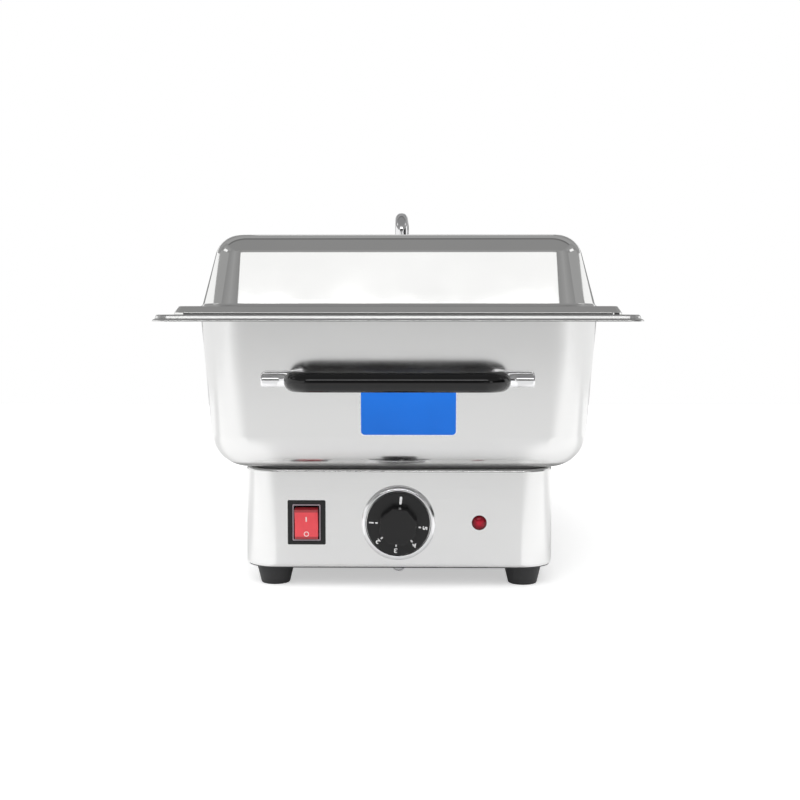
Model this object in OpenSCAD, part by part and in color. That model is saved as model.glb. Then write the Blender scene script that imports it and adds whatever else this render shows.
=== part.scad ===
// Electric chafing dish: a heated water pan on a control base, a lift-out food pan and a lift-off lid.
// Lengths are in millimetres. X runs across the front, Y from front to back and Z up.
// The origin is on the table, under the middle of the dish.

/* [Sheet metal] */
// Thickness of the pressed sheet in the pans and the lid
sheet = 0.8; // [0.6:0.1:1.2]
// Radius on the underside of the folds between walls and rims
fold_r = 3; // [2:0.5:5]
// Gap left where one piece sits on another
seat_gap = 0.1; // [0.05:0.05:0.3]

/* [Food pan] */
// Width of the food pan over its rim
food_w = 325; // [290:1:345]
// Length of the food pan over its rim
food_l = 530; // [460:1:600]
// Depth of the food pan from the top of its rim
food_depth = 65; // [45:1:100]
// Width of the food pan's rim
food_rim = 13.5; // [12:0.5:18]
// Height of the food pan's turned-down edge
food_hem = 3.2; // [2.5:0.1:4.5]
// Corner radius of the food pan's rim
food_rim_r = 12; // [8:1:20]
// Radius between the food pan's floor and walls
food_floor_r = 20; // [10:1:24]

/* [Water pan] */
// Gap between the food pan's walls and the water pan
pan_gap = 3.7; // [2.5:0.1:6]
// Height of the water pan from its floor to its ledge
pan_h = 118; // [110:1:160]
// Corner radius of the water pan at its ledge
pan_corner_r = 40; // [39:1:52]
// Radius between the water pan's floor and walls
pan_floor_r = 28; // [15:1:28]
// Lean of the pan walls in degrees
draft = 4.6; // [3:0.1:4.8]
// Width of the flat ledge around the tub
ledge = 23.5; // [21:0.5:32]
// Corner radius of the ledge
ledge_r = 9; // [6:1:16]
// How far the sloped lip reaches out
lip_run = 3.5; // [3:0.5:9]
// How far the sloped lip drops
lip_drop = 4.5; // [3:0.5:8]

/* [Lid] */
// Gap between the food pan's rim and the lid's skirt
lid_gap = 3.2; // [2:0.1:4]
// Height of the lid's skirt
skirt_h = 6.2; // [5.8:0.1:9]
// Height of the upright foot of the skirt
skirt_foot = 1.5; // [1:0.1:2.5]
// How far the skirt leans in
skirt_run = 3.5; // [2:0.1:5]
// Width of the lid's flat flange
lid_flange = 11; // [9:0.5:16]
// Corner radius of the lid's flange
lid_r = 6; // [5:0.5:12]
// Height of the lid's dome
dome_h = 55; // [40:1:60]
// Lean of the dome's walls in degrees
dome_lean = 15; // [8:1:16]
// Radius around the top of the dome
dome_top_r = 20; // [8:1:20]
// Corner radius of the dome at its foot
dome_corner_r = 36; // [36:1:50]

/* [Lid handle] */
// Diameter of the bent handle rods
rod_d = 11; // [8:0.5:13]
// Length of the lid handle between its legs
lid_handle_span = 130; // [90:1:180]
// Height of the lid handle above the lid
lid_handle_h = 29.5; // [27:0.5:45]
// Bend radius of the lid handle
lid_bend_r = 12; // [9:0.5:16]
// Diameter of the threaded ends of the lid handle
lid_stud_d = 6; // [5:0.5:7]

/* [Pan handles] */
// Width of a pan handle over its welded feet
handle_w = 205; // [198:1:230]
// Width of the black grip over its bends
grip_w = 167; // [120:1:167]
// Diameter of the black grip
grip_d = 15; // [14.5:0.5:18]
// Distance from the wall to the middle of the grip
handle_reach = 37; // [36:1:55]
// Distance from the ledge down to the handles
handle_drop = 49; // [35:1:60]
// Bend radius of the pan handles
handle_bend_r = 14; // [10:0.5:15]

/* [Name plate] */
// Width of the name plate
plate_w = 74; // [40:1:110]
// Height of the name plate
plate_h = 38; // [20:1:40]
// Thickness of the name plate
plate_t = 0.6; // [0.4:0.1:1.5]
// Corner radius of the name plate
plate_r = 4; // [1:0.5:8]
// Sideways place of the middle of the name plate
plate_x = 8; // [-20:1:20]
// Distance from the ledge down to the middle of the name plate
plate_drop = 73; // [65:1:82]

/* [Base] */
// How far the base stands in from the top of the tub
base_inset = 33; // [33:0.5:38]
// Height of the base shell
shell_h = 76.2; // [75:0.1:100]
// Thickness of the base shell
shell_t = 1; // [0.8:0.1:1.5]
// Corner radius of the base shell
base_r = 26; // [18:1:36]
// Bend radius around the top and foot of the base shell
shell_bend_r = 3; // [2:0.5:4]
// Width of the flange at the top of the base shell
top_flange = 16; // [15:0.5:17]
// Width of the flange at the foot of the base shell
bottom_flange = 12; // [9:0.5:15]
// Thickness of the gasket under the water pan
gasket_t = 2.5; // [1:0.1:3]
// Width of the gasket
gasket_w = 10; // [8:0.5:12]
// Thickness of the bottom cover
cover_t = 1.2; // [0.8:0.1:2]
// How far the bottom cover stands in from the shell
cover_inset = 0.5; // [0.2:0.1:1]
// Number of cooling slots in each row of the bottom cover
slot_count = 9; // [3:1:11]
// Length of a cooling slot
slot_l = 40; // [20:1:44]
// Width of a cooling slot
slot_w = 4; // [3:0.5:6]

/* [Feet] */
// Height of a foot
foot_h = 15.5; // [14:0.5:30]
// Diameter of a foot at the top
foot_top_d = 29.5; // [24:0.5:36]
// Diameter of a foot at the table
foot_bottom_d = 22.5; // [16:0.5:26]
// Distance from the sides of the base to the middle of a foot
foot_inset = 22; // [20:0.5:30]

/* [Controls] */
// Height of the controls above the underside of the base
control_h = 36; // [34:0.5:40]
// Sideways place of the knob
knob_x = 0; // [-6:1:6]
// Distance from the left side of the base to the middle of the switch
switch_inset = 48.8; // [40.5:0.1:60.5]
// Distance from the right side of the base to the middle of the pilot lamp
lamp_inset = 57.5; // [30.5:0.5:68.5]
// Diameter of the ring around the knob
bezel_d = 60; // [58:0.5:66]
// Width of the ring around the knob
bezel_w = 4.8; // [3:0.1:5]
// Height of the ring around the knob
bezel_h = 6.5; // [5:0.5:9]
// Diameter of the knob
knob_d = 49; // [42:0.5:49.2]
// Width of the knob's eight-sided grip across its flats
knob_grip_w = 28; // [20:0.5:30]
// Height of the knob's grip
knob_grip_h = 15; // [12:0.5:20]
// Diameter of the thermostat shaft
shaft_d = 6; // [5:0.5:7]
// Depth of the flat on the shaft's end
shaft_flat = 1.2; // [0.8:0.1:1.6]
// Width of the switch's frame
switch_w = 30; // [29:0.5:34]
// Height of the switch's frame
switch_h = 35.2; // [34.6:0.1:40]
// Width of the rocker
rocker_w = 18.5; // [16:0.5:20.5]
// Height of the rocker
rocker_h = 24; // [18:0.5:24.5]
// Angle that the rocker tips through
rocker_throw = 16; // [10:1:18]
// Diameter of the pilot lamp's lens
lamp_d = 11.7; // [11:0.1:16]

/* [Heater] */
// Thickness of the heat spreader
spreader_t = 3; // [2:0.5:4]
// Distance between the runs of the heating element
run_pitch = 48; // [42:1:48]
// Diameter of the heating element
element_d = 8; // [6.5:0.5:8.5]
// Distance between the clamp bars
bar_pitch = 100; // [80:1:110]
// Thickness of the insulation pad
pad_t = 12; // [6:1:12]

/* [Cable gland] */
// Diameter of the lead that the gland takes
lead_d = 9; // [6:0.5:10]
// Distance from the left side of the base to the middle of the gland
gland_inset = 60.5; // [40.5:0.5:180.5]
// Height of the gland above the underside of the base
gland_h = 32; // [28:1:36]

/* [Hidden] */
$fn = 64;

// Number of flats that stand for each rounded bend of a pressed section
bend_steps = 6;
// Amount by which a cutting tool passes the face that it cuts
cut_over = 1;
// Clearance of a running fit, such as a pin in its bore
run_fit = 0.05;
// Clearance around a screw or stud that passes through a hole
hole_fit = 0.3;
// Clearance around a body in its cut-out
cutout_fit = 0.2;

// Levels, from the table up
base_bottom = foot_h;
shell_bottom = base_bottom + cover_t;
shell_top = shell_bottom + shell_h;
pan_bottom = shell_top + gasket_t;
rim_z = pan_bottom + pan_h;
rim_under = rim_z - sheet;
food_seat = rim_z + seat_gap;
food_top = food_seat + food_hem;
food_under = food_top - sheet;
food_bottom = food_top - food_depth;
lid_seat = rim_z + seat_gap;
flange_z = lid_seat + skirt_h;
lid_top = flange_z + dome_h;

// Sizes across, all from the food pan outwards or inwards
food_tub_w = food_w - 2 * food_rim;
food_tub_l = food_l - 2 * food_rim;
food_corner_r = pan_corner_r - pan_gap - sheet;
tub_w = food_tub_w + 2 * (pan_gap + sheet);
tub_l = food_tub_l + 2 * (pan_gap + sheet);
ledge_w = tub_w + 2 * ledge;
ledge_l = tub_l + 2 * ledge;
lid_w = food_w + 2 * (lid_gap + sheet - skirt_run);
lid_l = food_l + 2 * (lid_gap + sheet - skirt_run);
dome_w = lid_w - 2 * lid_flange;
dome_l = lid_l - 2 * lid_flange;
base_w = tub_w - 2 * base_inset;
base_l = tub_l - 2 * base_inset;

// Flat stub that a folded section keeps before the plain sheet carries on
fold_stub = fold_r + 2 * sheet;
// The same stub at the sharper folds of an outer edge
edge_stub = 3;
edge_fold_r = 1;
lip_fold_r = 2;

// Control panel
panel_y = -base_l / 2;
control_z = base_bottom + control_h;
switch_x = switch_inset - base_w / 2;
lamp_x = base_w / 2 - lamp_inset;
knob_skirt_t = 4;
knob_clear = 4;
knob_turned = 6;
knob_hub_d = 14;
shaft_in_knob = 12;
thermostat_w = 44;
thermostat_h = 34;
thermostat_depth = 27;
thermostat_hole_x = 14;
thermostat_screw_d = 4;
thermostat_tab_x = 8;
tab_l = 7;
tab_w = 6.3;
tab_t = 0.8;
shaft_hole_d = shaft_d + 4;
shaft_depth = 14;

// Rocker switch
frame_t = 2;
recess_gap_x = 0.4;
recess_gap_z = 1.2;
switch_wall = 2.2;
switch_body_w = rocker_w + 2 * (recess_gap_x + switch_wall);
switch_body_h = rocker_h + 2 * (recess_gap_z + switch_wall);
switch_depth = 22;
frame_step_x = 1.4;
frame_step_z = 1.2;
frame_step_t = 1.2;
pivot_depth = 4;
pivot_d = 3;
pivot_l = 1.4;
rocker_rise = 7.5;
rocker_tail = 4;
recess_depth = 14;
switch_tab_x = 6;
switch_tab_z = 7;

// Pilot lamp
lamp_flange_t = 1.2;
lamp_rise = 3.4;
lamp_body_d = lamp_d - 1.8;
lamp_depth = 24;
lamp_lead_x = 2.5;
clip_d = lamp_d + 4;
clip_t = 1.5;

// Fasteners
stud_d = 5;
nut_w = 8;
nut_h = 4;
small_screw_d = 3;
small_head_d = 5.5;
small_head_h = 1.6;
base_screw_d = 4;
base_head_d = 9.5;
base_head_h = 3.2;
foot_screw_d = 4;
foot_head_d = 8;
foot_head_h = 2.8;
foot_recess = 6;
foot_nut_w = 7;
foot_nut_h = 3.2;
foot_edge_r = 1.5;
washer_d = 16;
washer_t = 1;
lid_nut_w = 10;
lid_nut_h = 5;
lid_cap_h = 4;

// Heater stack under the water pan
spreader_side_gap = 9.5;
spreader_end_gap = 32;
spreader_w = base_w - 2 * (top_flange + spreader_side_gap);
spreader_l = base_l - 2 * (top_flange + spreader_end_gap);
spreader_z = pan_bottom - spreader_t;
element_z = spreader_z - seat_gap - element_d / 2;
bar_t = 2;
bar_w = 15;
bar_end = 12;
bar_z = element_z - element_d / 2 - seat_gap - bar_t;
clamp_nut_z = bar_z - nut_h;
pad_gap = 0.4;
pad_z = clamp_nut_z - pad_gap - pad_t;
shield_t = 1;
shield_z = pad_z - shield_t;
shield_lip = 10;
pad_side_gap = 1;
shield_nut_z = shield_z - nut_h;
stud_tail = 2;
bend_end_gap = 17;
cold_end_gap = 10;
pin_l = 13;
pin_d = 4;
run_end = spreader_l / 2 - bend_end_gap - run_pitch / 2 - element_d / 2;
element_front = spreader_l / 2 - cold_end_gap;
pan_stud_end = 73;

// Sensor and cutout on the underside of the spreader
bulb_d = 6;
bulb_l = 80;
bulb_front = -70;
bulb_z = spreader_z - seat_gap - bulb_d / 2;
capillary_d = 1.6;
clip_y = -40;
strip_t = 1;
strip_w = 12;
strip_half = bulb_d / 2 + cutout_fit + strip_t;
clip_leg = 15;
clip_hole_x = 10;
cutout_y = 50;
cutout_d = 16;
cutout_h = 9;
ear_w = 32;
ear_h = 10;
ear_hole_x = 12;

// Gland, terminal block and earth stud at the back
gland_x = gland_inset - base_w / 2;
gland_z = base_bottom + gland_h;
thread_d = 16;
gland_bore = lead_d + 3;
gland_hex = 22;
gland_hex_h = 5;
thread_l = 9;
cap_d = 20;
cap_l = 16;
cap_tip_d = lead_d + 5;
locknut_h = 4;
block_inset = 70;
block_y = base_l / 2 - block_inset;
block_w = 46;
block_d = 20;
block_h = 18;
port_pitch = 14;
port_z = 8;
earth_offset = 45;
earth_x = gland_x + earth_offset;
earth_stud_h = 14;
lug_t = 0.8;
lug_d = 10;
lead_r = 1.2;
lead_gap = 0.3;
track_x = base_w / 2 - bottom_flange - 8;
track_z = shell_bottom + 6;

// Points of an arc about a centre
function arc(centre, r, a0, a1, steps) =
    [for (i = [0:steps]) let (a = a0 + (a1 - a0) * i / steps) centre + r * [cos(a), sin(a)]];

// Direction of a vector, and the direction a quarter turn to its left
function unit(v) = v / norm(v);
function left_of(v) = [-v[1], v[0]];
function reversed(v) = [for (i = [len(v) - 1:-1:0]) v[i]];

// Side to which a path turns at its point i: 1 to the left, -1 to the right
function turn_side(p, i) = sign(cross(p[i] - p[i - 1], p[i + 1] - p[i]));

// Half of the angle inside the bend at point i, and the reach of a bend of radius r from that point
function half_angle(p, i) = acos(unit(p[i - 1] - p[i]) * unit(p[i + 1] - p[i])) / 2;
function bend_reach(p, i, r) = r / tan(half_angle(p, i));

// Middle of the bend of radius r at point i
function bend_middle(p, i, r) =
    p[i] + unit(unit(p[i - 1] - p[i]) + unit(p[i + 1] - p[i])) * r / sin(half_angle(p, i));

// Angle at which the bend at point i starts, seen from its middle
function bend_start(p, i, r) =
    let (a = p[i] + unit(p[i - 1] - p[i]) * bend_reach(p, i, r) - bend_middle(p, i, r)) atan2(a[1], a[0]);

// Point i of a path moved to the left by t
function shifted(p, i, t) =
    i == 0 ? p[0] + t * left_of(unit(p[1] - p[0])) :
    i == len(p) - 1 ? p[i] + t * left_of(unit(p[i] - p[i - 1])) :
    let (n1 = left_of(unit(p[i] - p[i - 1])), n2 = left_of(unit(p[i + 1] - p[i])))
    p[i] + t * (n1 + n2) / (1 + n1 * n2);

// Points that round the corner i of a path
function round_corner(p, i, r) =
    let (from = bend_start(p, i, r), swing = turn_side(p, i) * (180 - 2 * half_angle(p, i)))
    arc(bend_middle(p, i, r), r, from, from + swing, bend_steps);

// A path with the corners between its ends rounded
function round_path(p, r) =
    [for (i = [0:len(p) - 1]) each (i == 0 || i == len(p) - 1 ? [p[i]] : round_corner(p, i, r[i]))];

// Outline of a bent sheet of thickness t that lies to the left of a path
function sheet_outline(p, r, t) =
    let (last = len(p) - 1, q = [for (i = [0:last]) shifted(p, i, t)])
    let (s = [for (i = [0:last]) i == 0 || i == last ? 0 : r[i] - t * turn_side(p, i)])
    concat(round_path(p, r), reversed(round_path(q, s)));

// Smooth route through chosen points
function route_point(a, b, c, d, s) =
    (2 * b + (c - a) * s + (2 * a - 5 * b + 4 * c - d) * s * s + (3 * b - a - 3 * c + d) * s * s * s) / 2;
function route(p, steps) =
    let (last = len(p) - 1)
    [for (i = [0:last - 1], k = [0:steps - 1])
        route_point(p[max(i - 1, 0)], p[i], p[i + 1], p[min(i + 2, last)], k / steps), p[last]];

// Directions along a route, and a side direction that stays square to them
function tangents(p) =
    [for (i = [0:len(p) - 1]) unit(p[min(i + 1, len(p) - 1)] - p[max(i - 1, 0)])];
function square_to(n, t) = unit(n - (n * t) * t);
function side_directions(t, n0) =
    [for (i = 0, n = square_to(n0, t[0]); i < len(t);
        i = i + 1, n = square_to(n, t[min(i, len(t) - 1)])) n];

// Rectangle with round corners
module rounded_rect(w, l, r) {
    square([w, l - 2 * r], center = true);
    square([w - 2 * r, l], center = true);
    for (x = [-1, 1], y = [-1, 1]) translate([x * (w / 2 - r), y * (l / 2 - r)]) circle(r);
}

// Section swept around a rounded rectangle. The section's x is measured from the corner's axis.
module ring_sweep(w, l, r) {
    for (i = [0:3]) {
        along = i % 2 == 0 ? l : w;
        across = i % 2 == 0 ? w : l;
        rotate(90 * i) {
            translate([across / 2 - r, 0, 0])
                rotate([90, 0, 0])
                    linear_extrude(along - 2 * r, center = true) children();
            translate([across / 2 - r, along / 2 - r, 0]) rotate_extrude(angle = 90) children();
        }
    }
}

// Flat plate between two rounded rectangles
module frame_plate(z, t, w, l, r, inner_w, inner_l, inner_r) {
    translate([0, 0, z]) linear_extrude(t) difference() {
        rounded_rect(w, l, r);
        rounded_rect(inner_w, inner_l, inner_r);
    }
}

// Plate that fills the middle of a swept tray
module middle_plate(w, l, r, z, t) {
    translate([r - w / 2, r - l / 2, z]) cube([w - 2 * r, l - 2 * r, t]);
}

// Bar with the section given, bent along a flat path
module bent_bar(p, bend) {
    last = len(p) - 1;
    for (i = [0:last - 1]) {
        dir = unit(p[i + 1] - p[i]);
        start = p[i] + (i == 0 ? 0 : bend_reach(p, i, bend)) * dir;
        finish = p[i + 1] - (i == last - 1 ? 0 : bend_reach(p, i + 1, bend)) * dir;
        translate([start[0], start[1], 0])
            rotate(atan2(dir[1], dir[0]))
                rotate([0, 90, 0])
                    linear_extrude(norm(finish - start)) children();
    }
    for (i = [1:last - 1]) {
        middle = bend_middle(p, i, bend);
        swing = 180 - 2 * half_angle(p, i);
        from = bend_start(p, i, bend);
        translate([middle[0], middle[1], 0])
            rotate(turn_side(p, i) > 0 ? from : from - swing)
                rotate_extrude(angle = swing) translate([bend, 0]) children();
    }
}

// Round lead along a smooth route
module lead(points, r) {
    sides = 8;
    p = route(points, 3);
    t = tangents(p);
    n = side_directions(t, [0.31, 0.42, 0.85]);
    rings = [for (i = [0:len(p) - 1], k = [0:sides - 1])
        let (a = 360 * k / sides) p[i] + r * (cos(a) * n[i] + sin(a) * cross(t[i], n[i]))];
    last = (len(p) - 1) * sides;
    walls = [for (i = [0:len(p) - 2], k = [0:sides - 1])
        let (a = i * sides + k, b = i * sides + (k + 1) % sides)
        each [[a, a + sides, b], [b, a + sides, b + sides]]];
    ends = [[for (k = [0:sides - 1]) k], [for (k = [sides - 1:-1:0]) last + k]];
    polyhedron(rings, concat(walls, ends));
}

// Places on the front panel and on the back of the base, with z pointing out of the wall
module on_panel(x, z) {
    translate([x, panel_y, z]) rotate([90, 0, 0]) children();
}
module on_back(x, z) {
    translate([x, -panel_y, z]) rotate([-90, 0, 0]) children();
}

// Hexagon nut with its bore
module hex_nut(w, h, bore) {
    difference() {
        cylinder(h, d = w / cos(30), $fn = 6);
        translate([0, 0, -cut_over]) cylinder(h + 2 * cut_over, d = bore);
    }
}

// Box centred on x and y
module centred_box(w, h, z0, z1) {
    translate([-w / 2, -h / 2, z0]) cube([w, h, z1 - z0]);
}

// Places where things repeat
module at_feet() {
    for (x = [-1, 1], y = [-1, 1])
        translate([x * (base_w / 2 - foot_inset), y * (base_l / 2 - foot_inset), 0]) children();
}
module at_base_screws() {
    sx = (base_w - bottom_flange) / 2;
    sy = (base_l - bottom_flange) / 2;
    for (y = [-1, 1]) translate([0, y * sy, 0]) children();
    for (x = [-1, 1], y = [-1, 1]) translate([x * sx, y * base_l / 4, 0]) children();
}
module at_flange_studs() {
    sx = base_w / 2 - shell_bend_r - gasket_w / 2;
    for (x = [-1, 1], y = [-1, 0, 1]) translate([x * sx, y * (base_l / 2 - pan_stud_end), 0]) children();
}
module at_bar_studs() {
    for (x = [-1, 1], y = [-1, 0, 1]) translate([x * run_pitch, y * bar_pitch, 0]) children();
}
module at_spreader_screws() {
    for (x = [-1, 1]) {
        translate([x * clip_hole_x, clip_y, 0]) children();
        translate([x * ear_hole_x, cutout_y, 0]) children();
    }
}
module at_thermostat_screws() {
    for (x = [-1, 1]) translate([x * thermostat_hole_x, 0, 0]) children();
}
module at_lid_handle() {
    for (y = [-1, 1]) translate([0, y * lid_handle_span / 2, 0]) children();
}

// Base
module base_shell() {
    color("gainsboro") difference() {
        ring_sweep(base_w, base_l, base_r) polygon(sheet_outline(
            [[base_r - bottom_flange, shell_bottom], [base_r, shell_bottom],
             [base_r, shell_top], [base_r - top_flange, shell_top]],
            [0, shell_bend_r, shell_bend_r, 0], shell_t));
        at_flange_studs() translate([0, 0, shell_top - shell_t - cut_over])
            cylinder(shell_t + 2 * cut_over, d = stud_d + 2 * hole_fit);
        at_base_screws() translate([0, 0, shell_bottom - cut_over])
            cylinder(shell_t + 2 * cut_over, d = base_screw_d + 2 * run_fit);
        on_panel(switch_x, control_z) centred_box(switch_body_w + 2 * cutout_fit,
            switch_body_h + 2 * cutout_fit, -shell_t - cut_over, cut_over);
        on_panel(knob_x, control_z) translate([0, 0, -shell_t - cut_over]) {
            cylinder(shell_t + 2 * cut_over, d = shaft_hole_d);
            at_thermostat_screws() cylinder(shell_t + 2 * cut_over, d = thermostat_screw_d + 2 * hole_fit);
        }
        on_panel(lamp_x, control_z) translate([0, 0, -shell_t - cut_over])
            cylinder(shell_t + 2 * cut_over, d = lamp_body_d + 2 * hole_fit);
        on_back(gland_x, gland_z) translate([0, 0, -shell_t - cut_over])
            cylinder(shell_t + 2 * cut_over, d = thread_d + 2 * hole_fit);
    }
}

// Cooling slot with round ends
module slot() {
    square([slot_l - slot_w, slot_w], center = true);
    for (x = [-1, 1]) translate([x * (slot_l - slot_w) / 2, 0]) circle(d = slot_w);
}

module bottom_cover() {
    color("dimgray") translate([0, 0, base_bottom]) linear_extrude(cover_t) difference() {
        rounded_rect(base_w - 2 * cover_inset, base_l - 2 * cover_inset, base_r - cover_inset);
        at_base_screws() circle(d = base_screw_d + 2 * hole_fit);
        at_feet() circle(d = foot_screw_d + 2 * hole_fit);
        for (x = [-1, 1], i = [0:slot_count - 1])
            translate([x * (slot_l / 2 + slot_w), (i - (slot_count - 1) / 2) * 3 * slot_w]) slot();
    }
}

module bottom_screws() {
    color("silver") at_base_screws() {
        translate([0, 0, base_bottom]) cylinder(cover_t + shell_t + base_screw_d, d = base_screw_d);
        translate([0, 0, base_bottom - base_head_h])
            cylinder(base_head_h, d1 = base_head_d - 2, d2 = base_head_d);
    }
}

// Rubber foot with a countersunk screw hole
module foot(x, y) {
    r0 = foot_bottom_d / 2;
    r1 = foot_top_d / 2;
    color("black") translate([x * (base_w / 2 - foot_inset), y * (base_l / 2 - foot_inset), 0])
        rotate_extrude() polygon(concat(
            [[foot_head_d / 2 + hole_fit, 0]],
            arc([r0 - foot_edge_r, foot_edge_r], foot_edge_r, -90, 0, bend_steps),
            [[r1, foot_h - foot_edge_r], [r1, foot_h], [foot_screw_d / 2 + hole_fit, foot_h],
             [foot_screw_d / 2 + hole_fit, foot_recess], [foot_head_d / 2 + hole_fit, foot_recess]]));
}
module foot_front_left() { foot(-1, -1); }
module foot_front_right() { foot(1, -1); }
module foot_rear_left() { foot(-1, 1); }
module foot_rear_right() { foot(1, 1); }

module foot_screws() {
    color("silver") at_feet() {
        translate([0, 0, foot_recess - foot_head_h]) cylinder(foot_head_h, d = foot_head_d);
        translate([0, 0, foot_recess])
            cylinder(shell_bottom + foot_nut_h + cut_over - foot_recess, d = foot_screw_d);
    }
}
module foot_nuts() {
    color("silver") at_feet() translate([0, 0, shell_bottom])
        hex_nut(foot_nut_w, foot_nut_h, foot_screw_d + 2 * run_fit);
}

module pan_gasket() {
    inner = shell_bend_r + gasket_w;
    color("black") translate([0, 0, shell_top]) linear_extrude(gasket_t) difference() {
        rounded_rect(base_w - 2 * shell_bend_r, base_l - 2 * shell_bend_r, base_r - shell_bend_r);
        rounded_rect(base_w - 2 * inner, base_l - 2 * inner, base_r - inner);
        at_flange_studs() circle(d = stud_d + 2 * hole_fit);
    }
}

// Pans
module water_pan() {
    foot_x = pan_corner_r - (rim_under - pan_bottom) * tan(draft);
    color("silver") {
        ring_sweep(tub_w, tub_l, pan_corner_r) polygon(sheet_outline(
            [[0, pan_bottom], [foot_x, pan_bottom], [pan_corner_r, rim_under],
             [pan_corner_r + fold_stub, rim_under]], [0, pan_floor_r, fold_r, 0], sheet));
        middle_plate(tub_w, tub_l, pan_corner_r, pan_bottom, sheet);
        frame_plate(rim_under, sheet, ledge_w - 2 * edge_stub, ledge_l - 2 * edge_stub, ledge_r - edge_stub,
            tub_w + 2 * fold_stub, tub_l + 2 * fold_stub, pan_corner_r + fold_stub);
        ring_sweep(ledge_w, ledge_l, ledge_r) polygon(sheet_outline(
            [[ledge_r - edge_stub, rim_under], [ledge_r, rim_under],
             [ledge_r + lip_run, rim_under - lip_drop]], [0, lip_fold_r, 0], sheet));
    }
}

module food_pan() {
    foot_x = food_corner_r - (food_under - food_bottom) * tan(draft);
    color("lightgray") {
        ring_sweep(food_tub_w, food_tub_l, food_corner_r) polygon(sheet_outline(
            [[0, food_bottom], [foot_x, food_bottom], [food_corner_r, food_under],
             [food_corner_r + fold_stub, food_under]], [0, food_floor_r, fold_r, 0], sheet));
        middle_plate(food_tub_w, food_tub_l, food_corner_r, food_bottom, sheet);
        frame_plate(food_under, sheet, food_w - 2 * edge_stub, food_l - 2 * edge_stub, food_rim_r - edge_stub,
            food_tub_w + 2 * fold_stub, food_tub_l + 2 * fold_stub, food_corner_r + fold_stub);
        ring_sweep(food_w, food_l, food_rim_r) polygon(sheet_outline(
            [[food_rim_r - edge_stub, food_under], [food_rim_r - sheet, food_under],
             [food_rim_r - sheet, food_seat]], [0, edge_fold_r, 0], sheet));
    }
}

// Lid
module lid_cover() {
    lean = dome_h * tan(dome_lean);
    color("whitesmoke") difference() {
        union() {
            ring_sweep(dome_w, dome_l, dome_corner_r) polygon(sheet_outline(
                [[dome_corner_r + fold_stub, flange_z], [dome_corner_r, flange_z],
                 [dome_corner_r - lean, lid_top], [0, lid_top]], [0, fold_r, dome_top_r, 0], sheet));
            middle_plate(dome_w, dome_l, dome_corner_r, lid_top - sheet, sheet);
            frame_plate(flange_z - sheet, sheet, lid_w - 2 * edge_stub, lid_l - 2 * edge_stub,
                lid_r - edge_stub, dome_w + 2 * fold_stub, dome_l + 2 * fold_stub, dome_corner_r + fold_stub);
            ring_sweep(lid_w, lid_l, lid_r) polygon(sheet_outline(
                [[lid_r + skirt_run, lid_seat], [lid_r + skirt_run, lid_seat + skirt_foot],
                 [lid_r, flange_z], [lid_r - edge_stub, flange_z]], [0, edge_fold_r, lip_fold_r, 0], sheet));
        }
        at_lid_handle() translate([0, 0, lid_top - sheet - cut_over])
            cylinder(sheet + 2 * cut_over, d = lid_stud_d + 2 * hole_fit);
    }
}

module lid_handle() {
    half = lid_handle_span / 2;
    bar_top = lid_top + lid_handle_h - rod_d / 2;
    stud_l = sheet + washer_t + lid_nut_h;
    color("silver") {
        rotate([90, 0, 90]) bent_bar([[-half, lid_top], [-half, bar_top], [half, bar_top], [half, lid_top]],
            lid_bend_r) circle(d = rod_d);
        at_lid_handle() translate([0, 0, lid_top - stud_l]) cylinder(stud_l, d = lid_stud_d);
    }
}
module lid_washers() {
    color("dimgray") at_lid_handle() translate([0, 0, lid_top - sheet - washer_t]) difference() {
        cylinder(washer_t, d = washer_d);
        translate([0, 0, -cut_over]) cylinder(washer_t + 2 * cut_over, d = lid_stud_d + 2 * hole_fit);
    }
}
module lid_nuts() {
    color("silver") at_lid_handle() translate([0, 0, lid_top - sheet - washer_t - lid_nut_h]) difference() {
        union() {
            cylinder(lid_nut_h, d = lid_nut_w / cos(30), $fn = 6);
            translate([0, 0, -lid_cap_h]) cylinder(lid_cap_h, d1 = lid_nut_w / 2, d2 = lid_nut_w);
        }
        translate([0, 0, -seat_gap]) cylinder(lid_nut_h + seat_gap + cut_over, d = lid_stud_d + 2 * run_fit);
    }
}

// Pan handles, made at the front and turned round for the back
handle_z = rim_z - handle_drop;
weld_y = tub_l / 2 - (rim_under - handle_z) * tan(draft) + (rod_d / 2 + seat_gap) / cos(draft);
leg_x = (grip_w - grip_d) / 2;
leg_run = handle_reach - rod_d / 2;
grip_tail = handle_bend_r + 3;
module handle_rod() {
    color("silver") translate([0, -weld_y, handle_z]) bent_bar([[-handle_w / 2, 0], [-leg_x, 0],
        [-leg_x, -leg_run], [leg_x, -leg_run], [leg_x, 0], [handle_w / 2, 0]], handle_bend_r)
            circle(d = rod_d);
}
module handle_grip() {
    back = grip_tail - leg_run;
    color("black") translate([0, -weld_y, handle_z])
        bent_bar([[-leg_x, back], [-leg_x, -leg_run], [leg_x, -leg_run], [leg_x, back]], handle_bend_r)
            difference() {
                circle(d = grip_d);
                circle(d = rod_d + 2 * run_fit);
            }
}
module front_handle_rod() { handle_rod(); }
module front_handle_grip() { handle_grip(); }
module rear_handle_rod() { rotate(180) handle_rod(); }
module rear_handle_grip() { rotate(180) handle_grip(); }

module name_plate() {
    z = rim_z - plate_drop;
    y = tub_l / 2 - (rim_under - z) * tan(draft) + seat_gap / cos(draft);
    color("royalblue") translate([plate_x, -y, z]) rotate([90 + draft, 0, 0])
        linear_extrude(plate_t) rounded_rect(plate_w, plate_h, plate_r);
}

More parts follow.
